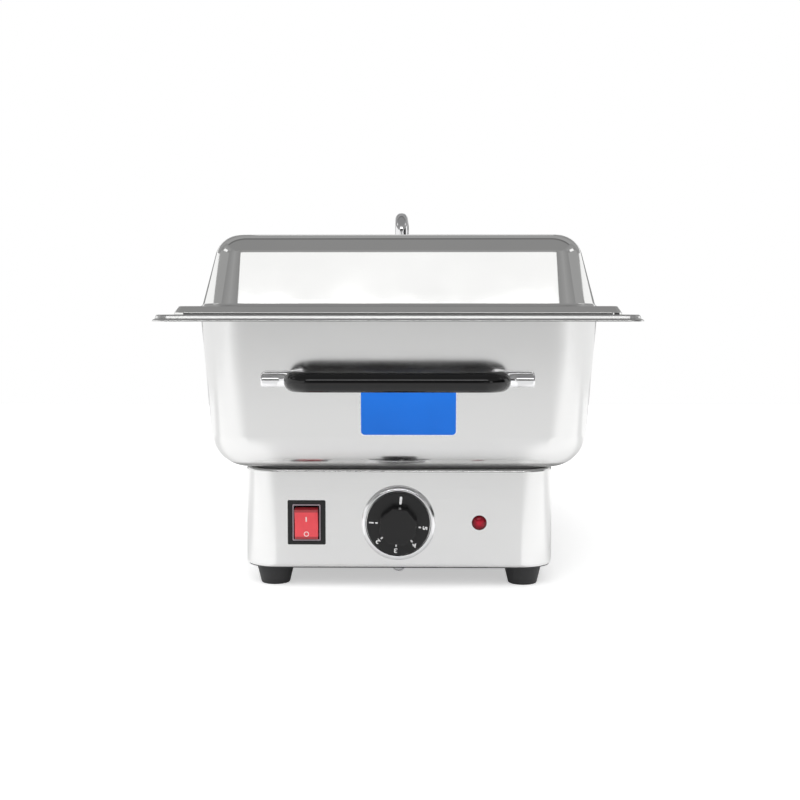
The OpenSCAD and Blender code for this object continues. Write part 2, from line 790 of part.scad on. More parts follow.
// Studs and nuts under the water pan
module pan_studs() {
    color("silver") {
        at_flange_studs() translate([0, 0, shell_top - shell_t - nut_h - stud_tail])
            cylinder(pan_bottom - shell_top + shell_t + nut_h + stud_tail, d = stud_d);
        at_bar_studs() translate([0, 0, shield_nut_z - stud_tail])
            cylinder(pan_bottom - shield_nut_z + stud_tail, d = stud_d);
    }
}
module stud_nut(z) {
    color("silver") translate([0, 0, z]) hex_nut(nut_w, nut_h, stud_d + 2 * run_fit);
}
module flange_nuts() { at_flange_studs() stud_nut(shell_top - shell_t - nut_h); }
module clamp_nuts() { at_bar_studs() stud_nut(clamp_nut_z); }
module shield_nuts() { at_bar_studs() stud_nut(shield_nut_z); }

// Heater
module heat_spreader() {
    color("lightgray") difference() {
        centred_box(spreader_w, spreader_l, spreader_z, pan_bottom);
        at_bar_studs() translate([0, 0, spreader_z - cut_over])
            cylinder(spreader_t + 2 * cut_over, d = stud_d + 2 * hole_fit);
        at_spreader_screws() translate([0, 0, spreader_z - cut_over])
            cylinder(spreader_t + 2 * cut_over, d = small_screw_d + 2 * run_fit);
    }
}

module heating_element() {
    x = run_pitch / 2;
    color("dimgray") translate([0, 0, element_z]) {
        bent_bar([[-3 * x, -element_front], [-3 * x, run_end + x], [-x, run_end + x], [-x, -run_end - x],
            [x, -run_end - x], [x, run_end + x], [3 * x, run_end + x], [3 * x, -element_front]],
            x - seat_gap) circle(d = element_d);
        for (side = [-1, 1]) translate([side * 3 * x, -element_front, 0])
            rotate([90, 0, 0]) cylinder(pin_l, d = pin_d);
    }
}

module element_clamps() {
    color("silver") for (y = [-1, 0, 1]) translate([0, y * bar_pitch, 0]) difference() {
        centred_box(3 * run_pitch + 2 * bar_end, bar_w, bar_z, bar_z + bar_t);
        for (x = [-1, 1]) translate([x * run_pitch, 0, bar_z - cut_over])
            cylinder(bar_t + 2 * cut_over, d = stud_d + 2 * hole_fit);
    }
}

module insulation_pad() {
    side = shield_t + pad_side_gap;
    color("beige") difference() {
        centred_box(spreader_w - 2 * side, spreader_l - 2 * side, pad_z, pad_z + pad_t);
        at_bar_studs() translate([0, 0, pad_z - cut_over])
            cylinder(pad_t + 2 * cut_over, d = stud_d + 2 * hole_fit);
    }
}

module heat_shield() {
    color("silver") difference() {
        centred_box(spreader_w, spreader_l, shield_z, shield_z + shield_lip);
        centred_box(spreader_w - 2 * shield_t, spreader_l - 2 * shield_t,
            pad_z, shield_z + shield_lip + cut_over);
        at_bar_studs() translate([0, 0, shield_z - cut_over])
            cylinder(shield_t + 2 * cut_over, d = stud_d + 2 * hole_fit);
    }
}

module thermal_cutout() {
    color("tan") translate([0, cutout_y, 0]) {
        difference() {
            centred_box(ear_w, ear_h, spreader_z - strip_t, spreader_z);
            for (x = [-1, 1]) translate([x * ear_hole_x, 0, spreader_z - strip_t - cut_over])
                cylinder(strip_t + 2 * cut_over, d = small_screw_d + 2 * hole_fit);
        }
        translate([0, 0, spreader_z - cutout_h]) cylinder(cutout_h - strip_t, d = cutout_d);
    }
}

module sensor_bulb() {
    top = control_z + thermostat_h / 2;
    low = bar_z - capillary_d / 2 - 1;
    color("goldenrod") {
        translate([0, bulb_front + bulb_l, bulb_z]) rotate([90, 0, 0]) cylinder(bulb_l, d = bulb_d);
        lead([[0, bulb_front, bulb_z], [0, bulb_front - 6, bulb_z - 0.5],
            [0, bulb_front - 14, (bulb_z + low) / 2], [0, bulb_front - 22, low],
            [0, bulb_front - 40, low], [0, -spreader_l / 2 - 2, low],
            [knob_x, panel_y + thermostat_depth, low - 3], [knob_x, panel_y + thermostat_depth - 8, top + 5],
            [knob_x, panel_y + thermostat_depth - 9, top]], capillary_d / 2);
    }
}

module bulb_clip() {
    low = spreader_z - seat_gap - bulb_d - cutout_fit - strip_t;
    flat = spreader_z - strip_t;
    color("silver") translate([0, clip_y, 0]) difference() {
        translate([0, strip_w / 2, 0]) rotate([90, 0, 0]) linear_extrude(strip_w) polygon(sheet_outline(
            [[-clip_leg, flat], [-strip_half, flat], [-strip_half, low], [strip_half, low],
             [strip_half, flat], [clip_leg, flat]],
            [0, strip_t / 2, 1.5 * strip_t, 1.5 * strip_t, strip_t / 2, 0], strip_t));
        for (x = [-1, 1]) translate([x * clip_hole_x, 0, flat - cut_over])
            cylinder(strip_t + 2 * cut_over, d = small_screw_d + 2 * hole_fit);
    }
}

module spreader_screws() {
    color("silver") at_spreader_screws() {
        translate([0, 0, spreader_z - strip_t]) cylinder(spreader_t, d = small_screw_d);
        translate([0, 0, spreader_z - strip_t - small_head_h]) cylinder(small_head_h, d = small_head_d);
    }
}

// Thermostat and knob
module thermostat_body() {
    color("slategray") on_panel(knob_x, control_z) difference() {
        centred_box(thermostat_w, thermostat_h, -thermostat_depth, -shell_t);
        translate([0, 0, -shell_t - shaft_depth]) cylinder(shaft_depth + cut_over, d = shaft_d + 2 * run_fit);
        at_thermostat_screws() translate([0, 0, -shell_t - thermostat_screw_d - cut_over])
            cylinder(thermostat_screw_d + 2 * cut_over, d = thermostat_screw_d + 2 * run_fit);
    }
}
module thermostat_tabs() {
    color("goldenrod") on_panel(knob_x, control_z) for (x = [-1, 1])
        translate([x * thermostat_tab_x, 0, 0])
            centred_box(tab_t, tab_w, -thermostat_depth - tab_l, -thermostat_depth);
}
module thermostat_screws() {
    color("silver") on_panel(knob_x, control_z) at_thermostat_screws() {
        cylinder(small_head_h, d = thermostat_screw_d + 3);
        translate([0, 0, -shell_t - thermostat_screw_d])
            cylinder(shell_t + thermostat_screw_d, d = thermostat_screw_d);
    }
}

// Section of the shaft's flatted end
module flatted(grow) {
    intersection() {
        circle(d = shaft_d + 2 * grow);
        translate([-shaft_d, -shaft_d]) square([2 * shaft_d, 1.5 * shaft_d - shaft_flat + grow]);
    }
}
module thermostat_shaft() {
    inner = shell_t + shaft_depth - seat_gap;
    color("silver") on_panel(knob_x, control_z) {
        translate([0, 0, -inner]) cylinder(inner + knob_clear, d = shaft_d);
        translate([0, 0, knob_clear]) linear_extrude(shaft_in_knob) flatted(0);
    }
}

module dial_bezel() {
    outer = bezel_d / 2;
    inner = outer - bezel_w;
    crown = bezel_w / 2;
    color("silver") on_panel(knob_x, control_z) rotate_extrude() polygon(concat(
        [[inner, 0], [outer, 0], [outer, bezel_h - crown]],
        arc([outer - crown, bezel_h - crown], crown, 0, 180, 2 * bend_steps)));
}

module control_knob() {
    face = knob_clear + knob_skirt_t;
    rim = 1;
    color("black") on_panel(knob_x, control_z) difference() {
        union() {
            translate([0, 0, knob_clear]) cylinder(knob_skirt_t - rim, d = knob_d);
            translate([0, 0, face - rim]) cylinder(rim, d1 = knob_d, d2 = knob_d - 2 * rim);
            translate([0, 0, face]) rotate(22.5 - knob_turned)
                cylinder(knob_grip_h, d = knob_grip_w / cos(22.5), $fn = 8);
            translate([0, 0, small_head_h + cutout_fit]) cylinder(knob_clear, d = knob_hub_d);
        }
        translate([0, 0, -cut_over]) cylinder(knob_clear + cut_over, d = shaft_d + 2 * run_fit);
        translate([0, 0, knob_clear]) linear_extrude(shaft_in_knob) flatted(run_fit);
    }
}

// Rocker switch
module switch_housing() {
    inner_w = rocker_w + 2 * recess_gap_x;
    inner_h = rocker_h + 2 * recess_gap_z;
    color("black") on_panel(switch_x, control_z) difference() {
        union() {
            centred_box(switch_w, switch_h, 0, frame_t);
            centred_box(switch_body_w, switch_body_h, -switch_depth, 0);
        }
        centred_box(inner_w + 2 * frame_step_x, inner_h + 2 * frame_step_z,
            frame_t - frame_step_t, frame_t + cut_over);
        centred_box(inner_w, inner_h, frame_t - recess_depth, frame_t + cut_over);
        translate([-inner_w / 2 - pivot_l - recess_gap_x, 0, -pivot_depth]) rotate([0, 90, 0])
            cylinder(inner_w + 2 * (pivot_l + recess_gap_x), d = pivot_d + 2 * run_fit);
    }
}
module switch_terminals() {
    color("goldenrod") on_panel(switch_x, control_z) for (x = [-1, 1], z = [-1, 1])
        translate([x * switch_tab_x, z * switch_tab_z, 0])
            centred_box(tab_t, tab_w, -switch_depth - tab_l, -switch_depth);
}

// Rocker with two faces that meet in a shallow valley, tipped to rest with its foot pressed in
module switch_rocker() {
    half = rocker_h / 2;
    tip = rocker_rise + half * tan(rocker_throw / 2);
    pivot_span = rocker_w + 2 * (recess_gap_x + pivot_l);
    color("crimson") on_panel(switch_x, control_z) translate([0, 0, -pivot_depth])
        rotate([rocker_throw / 2, 0, 0]) {
            rotate([90, 0, 90]) linear_extrude(rocker_w, center = true) polygon(
                [[-half, 0], [-half, tip], [0, rocker_rise], [half, tip], [half, 0],
                 [half / 2, -rocker_tail], [-half / 2, -rocker_tail]]);
            translate([-pivot_span / 2, 0, 0]) rotate([0, 90, 0]) cylinder(pivot_span, d = pivot_d);
        }
}

// Pilot lamp
module pilot_lens() {
    r = lamp_d / 2;
    color("darkred") on_panel(lamp_x, control_z) rotate_extrude() polygon(concat(
        [[0, 0], [r, 0], [r, lamp_flange_t]],
        [for (i = [1:bend_steps]) let (a = 90 * i / bend_steps)
            [(r - 0.4) * cos(a), lamp_flange_t + (lamp_rise - lamp_flange_t) * sin(a)]]));
}
module pilot_body() {
    color("dimgray") on_panel(lamp_x, control_z) translate([0, 0, -lamp_depth])
        cylinder(lamp_depth, d = lamp_body_d);
}
module pilot_clip() {
    color("silver") on_panel(lamp_x, control_z) translate([0, 0, -shell_t - clip_t]) difference() {
        cylinder(clip_t, d = clip_d);
        translate([0, 0, -cut_over]) cylinder(clip_t + 2 * cut_over, d = lamp_body_d + 2 * run_fit);
    }
}

// Cable gland on the back
module cable_gland() {
    color("black") on_back(gland_x, gland_z) difference() {
        union() {
            cylinder(gland_hex_h, d = gland_hex / cos(30), $fn = 6);
            translate([0, 0, -thread_l]) cylinder(thread_l, d = thread_d);
        }
        translate([0, 0, -thread_l - cut_over])
            cylinder(thread_l + gland_hex_h + 2 * cut_over, d = gland_bore);
    }
}
module gland_cap() {
    color("black") on_back(gland_x, gland_z) translate([0, 0, gland_hex_h]) rotate_extrude() polygon(
        [[lead_d / 2, 0], [cap_d / 2, 0], [cap_d / 2, cap_l / 2], [cap_tip_d / 2, cap_l],
         [lead_d / 2, cap_l]]);
}
module gland_locknut() {
    color("black") on_back(gland_x, gland_z) translate([0, 0, -shell_t - locknut_h])
        hex_nut(gland_hex, locknut_h, thread_d + 2 * run_fit);
}

// Terminal block, earth and leads
module terminal_block() {
    color("ivory") translate([gland_x, block_y, 0]) difference() {
        centred_box(block_w, block_d, shell_bottom, shell_bottom + block_h);
        for (i = [-1:1]) translate([i * port_pitch, 0, shell_bottom + block_h - small_screw_d])
            cylinder(small_screw_d + cut_over, d = small_head_d + 2 * run_fit);
    }
}
module terminal_screws() {
    color("goldenrod") translate([gland_x, block_y, shell_bottom + block_h - small_screw_d])
        for (i = [-1:1]) translate([i * port_pitch, 0, 0]) cylinder(small_head_h, d = small_head_d);
}
module earth_stud() {
    color("goldenrod") translate([earth_x, block_y, shell_bottom]) cylinder(earth_stud_h, d = stud_d);
}
module earth_nut() {
    color("goldenrod") translate([earth_x, block_y, shell_bottom + lug_t])
        hex_nut(nut_w, nut_h, stud_d + 2 * run_fit);
}

// Leads. Live goes through the switch, the thermostat and the cutout to the heater, and to the lamp.
tab_y = panel_y + switch_depth + tab_l;
tab_up = control_z + switch_tab_z;
tab_low = control_z - switch_tab_z;
thermostat_y = panel_y + thermostat_depth + tab_l;
lamp_y = panel_y + lamp_depth;
lamp_tab_z = 3;
port_y = block_y - block_d / 2;
port_level = shell_bottom + port_z;
pin_x = 1.5 * run_pitch;
pin_y = -element_front - pin_l;
spreader_front = -spreader_l / 2;
cutout_z = spreader_z - cutout_h;
cutout_lead_z = bar_z - lead_r - 1.4;
cutout_tail = 4;
to_front = [0, -1, 0];
to_back = [0, 1, 0];
down = [0, 0, -1];

// Straight end of a lead, square to the face that it meets at a point
function straight_end(p, dir) = [p + lead_gap * dir, p + 2 * dir, p + 4 * dir];

// Lead that leaves one point squarely and comes to another squarely
module tied_lead(from, from_dir, between, to, to_dir) {
    lead(concat(straight_end(from, from_dir), between, reversed(straight_end(to, to_dir))), lead_r);
}
module live_leads() {
    side = switch_x - switch_tab_x;
    left = knob_x - thermostat_tab_x;
    right = knob_x + thermostat_tab_x;
    port = gland_x - port_pitch;
    color("saddlebrown") {
        tied_lead([port, port_y, port_level], to_front,
            [[port - 6, port_y - 14, track_z], [-track_x, port_y - 44, track_z], [-track_x, 0, track_z],
             [-track_x, tab_y + 44, track_z], [side - 6, tab_y + 16, tab_low - 6]],
            [side, tab_y, tab_low], to_back);
        tied_lead([side, tab_y, tab_up], to_back,
            [[side + 12, tab_y + 10, tab_up - 3], [left - 14, thermostat_y + 8, control_z]],
            [left, thermostat_y, control_z], to_back);
        tied_lead([right, thermostat_y, control_z], to_back,
            [[right + 1, thermostat_y + 6, control_z + 2], [right + 5, spreader_front - 5, shield_z],
             [right + 3, spreader_front - 3.5, pad_z + pad_t - 2],
             [right + 2, spreader_front - 1.5, cutout_lead_z], [right + 1, spreader_front + 6, cutout_lead_z],
             [right, spreader_front + 25, cutout_lead_z], [right, 0, cutout_lead_z],
             [cutout_tail + 2, cutout_y - 12, cutout_lead_z]],
            [cutout_tail, cutout_y - cutout_tail, cutout_z], down);
        tied_lead([cutout_tail, cutout_y + cutout_tail, cutout_z], down,
            [[right + 6, cutout_y - 2, cutout_lead_z], [right + 6, 0, cutout_lead_z],
             [right + 6, spreader_front + 25, cutout_lead_z], [right + 10, spreader_front + 3, cutout_lead_z],
             [pin_x - 30, pin_y - 9, cutout_lead_z + 3], [pin_x - 8, pin_y - 10, element_z - 2]],
            [pin_x, pin_y, element_z], to_front);
        tied_lead([right, thermostat_y, control_z - lamp_tab_z], to_back,
            [[right + 8, thermostat_y + 7, control_z - 5], [right + 20, thermostat_y + 5, control_z - 6],
             [lamp_x - 17, thermostat_y + 2, control_z - 4], [lamp_x - 2, lamp_y + 10, control_z]],
            [lamp_x + lamp_lead_x, lamp_y, control_z], to_back);
    }
}
module neutral_leads() {
    side = switch_x + switch_tab_x;
    inner = track_x - 6;
    under = control_z - thermostat_h / 2 - 7;
    color("steelblue") {
        tied_lead([gland_x, port_y, port_level], to_front,
            [[gland_x - 4, port_y - 14, track_z], [-inner, port_y - 54, track_z], [-inner, 0, track_z],
             [-inner, tab_y + 44, track_z], [side - 6, tab_y + 16, tab_low - 6]],
            [side, tab_y, tab_low], to_back);
        tied_lead([side, tab_y, tab_up], to_back,
            [[side, tab_y + 6, tab_up + 2], [side - 1, tab_y + 7, tab_up + 8],
             [-pin_x, thermostat_y - 1, element_z - 9], [-pin_x, pin_y - 7, element_z - 3]],
            [-pin_x, pin_y, element_z], to_front);
        tied_lead([lamp_x - lamp_lead_x, lamp_y, control_z], to_back,
            [[lamp_x - 6, lamp_y + 5, control_z - 10], [lamp_x - 15, lamp_y + 4, under + 4],
             [lamp_x - 35, thermostat_y - 5, under], [knob_x, thermostat_y - 5, under],
             [side + 36, tab_y, under], [side + 14, tab_y + 5, under + 8], [side + 3, tab_y + 8, tab_up - 9],
             [side, tab_y + 6, tab_up - 4.5]],
            [side, tab_y, tab_up - lamp_tab_z], to_back);
    }
}
module earth_lead() {
    gap = lug_d / 2 + lead_r;
    port = gland_x + port_pitch;
    color("olivedrab") {
        lead(concat(straight_end([port, port_y, port_level], to_front),
            [[(port + earth_x) / 2, port_y - 12, shell_bottom + 4],
             [earth_x - 4, block_y - gap - 8, shell_bottom + lead_r + 0.5],
             [earth_x, block_y - gap + lead_r, shell_bottom + lead_r + 0.2]]), lead_r);
        translate([earth_x, block_y, shell_bottom]) difference() {
            cylinder(lug_t, d = lug_d);
            translate([0, 0, -cut_over]) cylinder(lug_t + 2 * cut_over, d = stud_d + 2 * run_fit);
        }
    }
}

base_shell();
bottom_cover();
bottom_screws();
foot_front_left();
foot_front_right();
foot_rear_left();
foot_rear_right();
foot_screws();
foot_nuts();
pan_gasket();
water_pan();
pan_studs();
flange_nuts();
clamp_nuts();
shield_nuts();
heat_spreader();
heating_element();
element_clamps();
insulation_pad();
heat_shield();
thermal_cutout();
sensor_bulb();
bulb_clip();
spreader_screws();
thermostat_body();
thermostat_tabs();
thermostat_screws();
thermostat_shaft();
dial_bezel();
control_knob();
switch_housing();
switch_terminals();
switch_rocker();
pilot_lens();
pilot_body();
pilot_clip();
cable_gland();
gland_cap();
gland_locknut();
terminal_block();
terminal_screws();
earth_stud();
earth_nut();
live_leads();
neutral_leads();
earth_lead();
front_handle_rod();
front_handle_grip();
rear_handle_rod();
rear_handle_grip();
name_plate();
food_pan();
lid_cover();
lid_handle();
lid_washers();
lid_nuts();
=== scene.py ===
"""Electric chafing dish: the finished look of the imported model, one operator for each piece."""
import math

import bmesh
import bpy
from bpy.props import FloatProperty, FloatVectorProperty, IntProperty, PointerProperty
from mathutils import Matrix, Vector


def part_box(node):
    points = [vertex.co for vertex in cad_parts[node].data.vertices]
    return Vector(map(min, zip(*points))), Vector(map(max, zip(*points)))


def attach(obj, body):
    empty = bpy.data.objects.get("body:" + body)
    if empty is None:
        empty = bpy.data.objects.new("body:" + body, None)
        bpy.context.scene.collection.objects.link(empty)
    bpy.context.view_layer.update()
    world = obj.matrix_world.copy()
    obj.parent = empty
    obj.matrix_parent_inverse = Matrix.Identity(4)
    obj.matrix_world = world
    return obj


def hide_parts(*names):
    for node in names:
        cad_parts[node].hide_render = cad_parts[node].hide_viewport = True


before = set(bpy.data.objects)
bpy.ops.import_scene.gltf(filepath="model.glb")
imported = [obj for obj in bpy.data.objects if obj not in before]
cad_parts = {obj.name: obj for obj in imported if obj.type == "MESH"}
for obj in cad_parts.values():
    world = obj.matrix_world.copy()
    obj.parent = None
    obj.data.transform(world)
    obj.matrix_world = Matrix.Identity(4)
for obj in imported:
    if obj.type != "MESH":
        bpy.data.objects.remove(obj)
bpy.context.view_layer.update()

bl_info = {
    "name": "Electric chafing dish",
    "version": (1, 0, 0),
    "blender": (4, 5, 0),
    "location": "3D View > Sidebar > Dish",
    "description": "Dresses an electric chafing dish in steel, plastic and rubber",
    "category": "Object",
}

MM = 0.001

# Flat stretch of sheet before the bend of a rim
RUN_IN = 3 * MM
# Half the thickness of printed marks
PRINT = 0.02 * MM


def mm(*values):
    """Lengths that are given in millimetres."""
    return [value * MM for value in values]


def length(name, millimetres, description):
    return FloatProperty(name=name, description=description, default=millimetres * MM,
                         subtype="DISTANCE", unit="LENGTH")


def angle(name, degrees, description):
    return FloatProperty(name=name, description=description, default=math.radians(degrees),
                         subtype="ANGLE", unit="ROTATION")


def colour(name, rgb, description):
    return FloatVectorProperty(name=name, description=description, default=rgb, size=3,
                               min=0.0, max=1.0, subtype="COLOR")


def share(name, value, description):
    return FloatProperty(name=name, description=description, default=value, min=0.0, max=1.0,
                         subtype="FACTOR")


def count(name, value, description):
    return IntProperty(name=name, description=description, default=value, min=1)


class PanSizes(bpy.types.PropertyGroup):
    """Sizes of the two pressed pans."""
    sheet: length("Sheet", 0.8, "Thickness of the pressed steel")
    draft: angle("Draft", 4.6, "Lean of the pan walls")
    fold: length("Fold", 3, "Radius between a wall and its rim")
    corner_steps: count("Corner steps", 28, "Faces round each corner")
    water_corner: length("Water pan corner", 40, "Corner radius of the water pan under its ledge")
    water_floor: length("Water pan floor bend", 28, "Radius between floor and wall")
    ledge: length("Ledge", 23.5, "Width of the flat ledge round the water pan")
    ledge_corner: length("Ledge corner", 9, "Corner radius of the ledge")
    lip_reach: length("Lip reach", 4.13, "How far the flared lip stands out from the ledge")
    lip_drop: length("Lip drop", 4.2, "How far the flared lip hangs below the ledge")
    food_corner: length("Food pan corner", 35.5, "Corner radius of the food pan under its rim")
    food_floor: length("Food pan floor bend", 20, "Radius between floor and wall")
    food_rim: length("Food pan rim", 13.5, "Width of the food pan's rim")
    food_rim_corner: length("Food pan rim corner", 12, "Corner radius of the food pan's rim")
    food_hem: length("Food pan hem", 3.2, "Height of the turned down edge")


class LidSizes(bpy.types.PropertyGroup):
    """Sizes of the lid and its handle."""
    skirt_reach: length("Skirt reach", 3.5, "How far the skirt stands out below the flange")
    skirt_foot: length("Skirt foot", 1.5, "Upright part of the skirt")
    skirt_height: length("Skirt height", 6.2, "Height of the skirt")
    flange: length("Flange", 11, "Width of the flat flange")
    flange_corner: length("Flange corner", 6, "Corner radius of the flange")
    dome_corner: length("Dome corner", 36, "Corner radius at the foot of the dome")
    dome_lean: angle("Dome lean", 15, "Lean of the dome walls")
    top_bend: length("Top bend", 20, "Radius between the dome walls and the top")
    handle_bend: length("Handle bend", 12, "Bend radius of the lid handle")


class BaseSizes(bpy.types.PropertyGroup):
    """Sizes of the base, its feet and its fasteners."""
    sheet: length("Sheet", 1, "Thickness of the base shell")
    corner: length("Corner", 26, "Corner radius of the base")
    bend: length("Bend", 2, "Radius of the top and bottom folds")
    top_flange: length("Top flange", 16, "Width of the inner flange under the pan")
    foot_flange: length("Bottom flange", 12, "Width of the inner flange over the cover")
    foot_edge: length("Foot edge", 1.5, "Rounding of a rubber foot")
    foot_recess: length("Foot recess", 6, "Depth of the screw recess in a foot")
    head: length("Screw head", 9.5, "Diameter of the cover screws")
    gland_hex: length("Gland hexagon", 22, "Width of the gland over its flats")
    cap_tip: length("Gland tip", 14, "Diameter of the gland cap at its tip")
    ribs: count("Gland ribs", 18, "Grip ribs round the gland cap")


class HandleSizes(bpy.types.PropertyGroup):
    """Sizes of the two pan handles."""
    rod: length("Rod", 11, "Diameter of the steel rod")
    grip: length("Grip", 15, "Diameter of the plastic grip")
    bend: length("Bend", 14, "Bend radius of rod and grip")
    rounding: length("Rounding", 1.6, "Rounding of the ends")


class ControlSizes(bpy.types.PropertyGroup):
    """Sizes of the dial, the switch, the lamp and the name plate."""
    bezel_width: length("Bezel width", 4.8, "Width of the chrome ring")
    dial_skirt: length("Dial skirt", 4, "Thickness of the dial's skirt")
    dial_grip: length("Dial grip", 27.2, "Width of the octagonal grip over its flats")
    dial_turn: angle("Dial turn", 6, "How far the dial is turned clockwise at rest")
    numeral: length("Numeral", 3.5, "Height of the numerals")
    numeral_step: angle("Numeral step", 43.5, "Angle between two numerals")
    first_numeral: angle("First numeral", 92.8, "Angle from the long mark to the highest numeral")
    numeral_radius: length("Numeral radius", 20.9, "Distance of the numerals from the middle")
    tick_radius: length("Tick radius", 16.9, "Distance of the short marks from the middle")
    mark_radius: length("Mark radius", 18.4, "Distance of the long mark from the middle")
    frame_bevel: length("Switch bevel", 0.6, "Bevel round the switch frame")
    frame_thick: length("Switch frame", 2, "Thickness of the switch frame")
    rocker_width: length("Rocker width", 18.3, "Width of the rocker")
    rocker_tall: length("Rocker height", 24, "Height of the rocker")
    rocker_rise: length("Rocker rise", 7.5, "Height of the rocker's middle over its pivot")
    rocker_tip: length("Rocker tip", 9.19, "Height of the rocker's ends over its pivot")
    rocker_tilt: angle("Rocker tilt", 8, "Tilt of the rocker at rest")
    pivot_depth: length("Pivot depth", 4, "How far the pivot lies behind the panel")
    plate_corner: length("Plate corner", 4, "Corner radius of the name plate")
    plate_border: length("Plate border", 1.1, "Width of the pale line round the plate")


class Finishes(bpy.types.PropertyGroup):
    """Colours of the finishes."""
    lid: colour("Lid steel", (0.90, 0.90, 0.89), "Polished steel of the lid")
    pan: colour("Pan steel", (0.80, 0.80, 0.795), "Satin steel of the pans")
    base: colour("Base steel", (0.82, 0.82, 0.815), "Satin steel of the base")
    chrome: colour("Chrome", (0.86, 0.86, 0.87), "Chromed rods and ring")
    black: colour("Black plastic", (0.002, 0.002, 0.0022), "Handle grips")
    dial: colour("Dial plastic", (0.009, 0.009, 0.0092), "Dial, switch frame and gland")
    rubber: colour("Rubber", (0.020, 0.020, 0.021), "Feet and seals")
    rocker: colour("Rocker red", (0.80, 0.060, 0.078), "Red rocker of the switch")
    lamp: colour("Lamp red", (0.56, 0.006, 0.030), "Lens of the pilot lamp")
    plate: colour("Plate blue", (0.012, 0.205, 0.90), "Name plate")
    print: colour("Print", (0.97, 0.97, 0.97), "Numerals and marks")


class StageSettings(bpy.types.PropertyGroup):
    """Camera and studio."""
    camera: FloatVectorProperty(name="Camera", description="Place of the camera", size=3,
                                default=(0.017, -1.2284, 0.2144), subtype="TRANSLATION",
                                unit="LENGTH")
    yaw: angle("Yaw", 0.9, "Turn of the camera to the left")
    pitch: angle("Pitch", 3.82, "Tilt of the camera below the horizon")
    focal: FloatProperty(name="Focal length", default=58.46,
                         description="Lens on a 36 mm sensor, in millimetres")
    floor: share("Floor", 0.85, "Brightness of the floor")
    daylight: share("Room light", 0.52, "Even light from all round")
    tent: share("Tent", 0.27, "Grey of the tent over the dish, seen only in the steel")
    window: FloatProperty(name="Window", default=1.03, min=0.0,
                          description="Brightness of the tent's windows")
    softbox: FloatProperty(name="Softbox", default=4.0, min=0.0,
                           description="Brightness of the lit strip below the front window")


class ChafingDish(bpy.types.PropertyGroup):
    """All settings of the dish."""
    pan: PointerProperty(type=PanSizes, name="Pans", description="Pressed pans")
    lid: PointerProperty(type=LidSizes, name="Lid", description="Lid and lid handle")
    base: PointerProperty(type=BaseSizes, name="Base", description="Base, feet and fasteners")
    handle: PointerProperty(type=HandleSizes, name="Handles", description="Pan handles")
    control: PointerProperty(type=ControlSizes, name="Controls", description="Dial, switch, lamp")
    finish: PointerProperty(type=Finishes, name="Finishes", description="Colours")
    stage: PointerProperty(type=StageSettings, name="Stage", description="Camera and studio")


def maths(operation, turned=False):
    """One operator of a wire, which adds a Math node on it and another wire or number."""
    def step(wire, other=0.0):
        pair = (other, wire) if turned else (wire, other)
        return wire.graph.node("ShaderNodeMath", {"operation": operation}, dict(enumerate(pair)))
    return step


class Wire:
    """A node's output that takes part in Python expressions."""
    __add__ = __radd__ = maths("ADD")
    __sub__, __rsub__ = maths("SUBTRACT"), maths("SUBTRACT", turned=True)
    __mul__ = __rmul__ = maths("MULTIPLY")
    __truediv__, __pow__, __abs__ = maths("DIVIDE"), maths("POWER"), maths("ABSOLUTE")
    least, most = maths("MINIMUM"), maths("MAXIMUM")

    def __init__(self, graph, socket):
        self.graph, self.socket = graph, socket


class Graph:
    """A node tree that is written as expressions."""

    def __init__(self, tree):
        self.tree = tree

    def node(self, kind, settings=None, sockets=None, output=0):
        made = self.tree.nodes.new(kind)
        for key, value in (settings or {}).items():
            if key == "stops":
                self.set_stops(made.color_ramp, value)
            else:
                setattr(made, key, value)
        for key, value in (sockets or {}).items():
            if isinstance(value, Wire):
                self.tree.links.new(value.socket, made.inputs[key])
            else:
                made.inputs[key].default_value = value
        return Wire(self, made.outputs[output]) if made.outputs else made

    @staticmethod
    def set_stops(ramp, stops):
        while len(ramp.elements) < len(stops):
            ramp.elements.new(1.0)
        for element, (place, rgb) in zip(ramp.elements, stops):
            element.position, element.color = place, (*rgb, 1.0)

    def part(self, axis, vector):
        """One coordinate of a vector."""
        return self.node("ShaderNodeSeparateXYZ", None, {0: vector}, output=axis)

    def rise(self, value, start, end, shape="SMOOTHSTEP"):
        """0 before the start, 1 after the end."""
        return self.node("ShaderNodeMapRange", {"interpolation_type": shape},
                         {"Value": value, 1: start, 2: end})


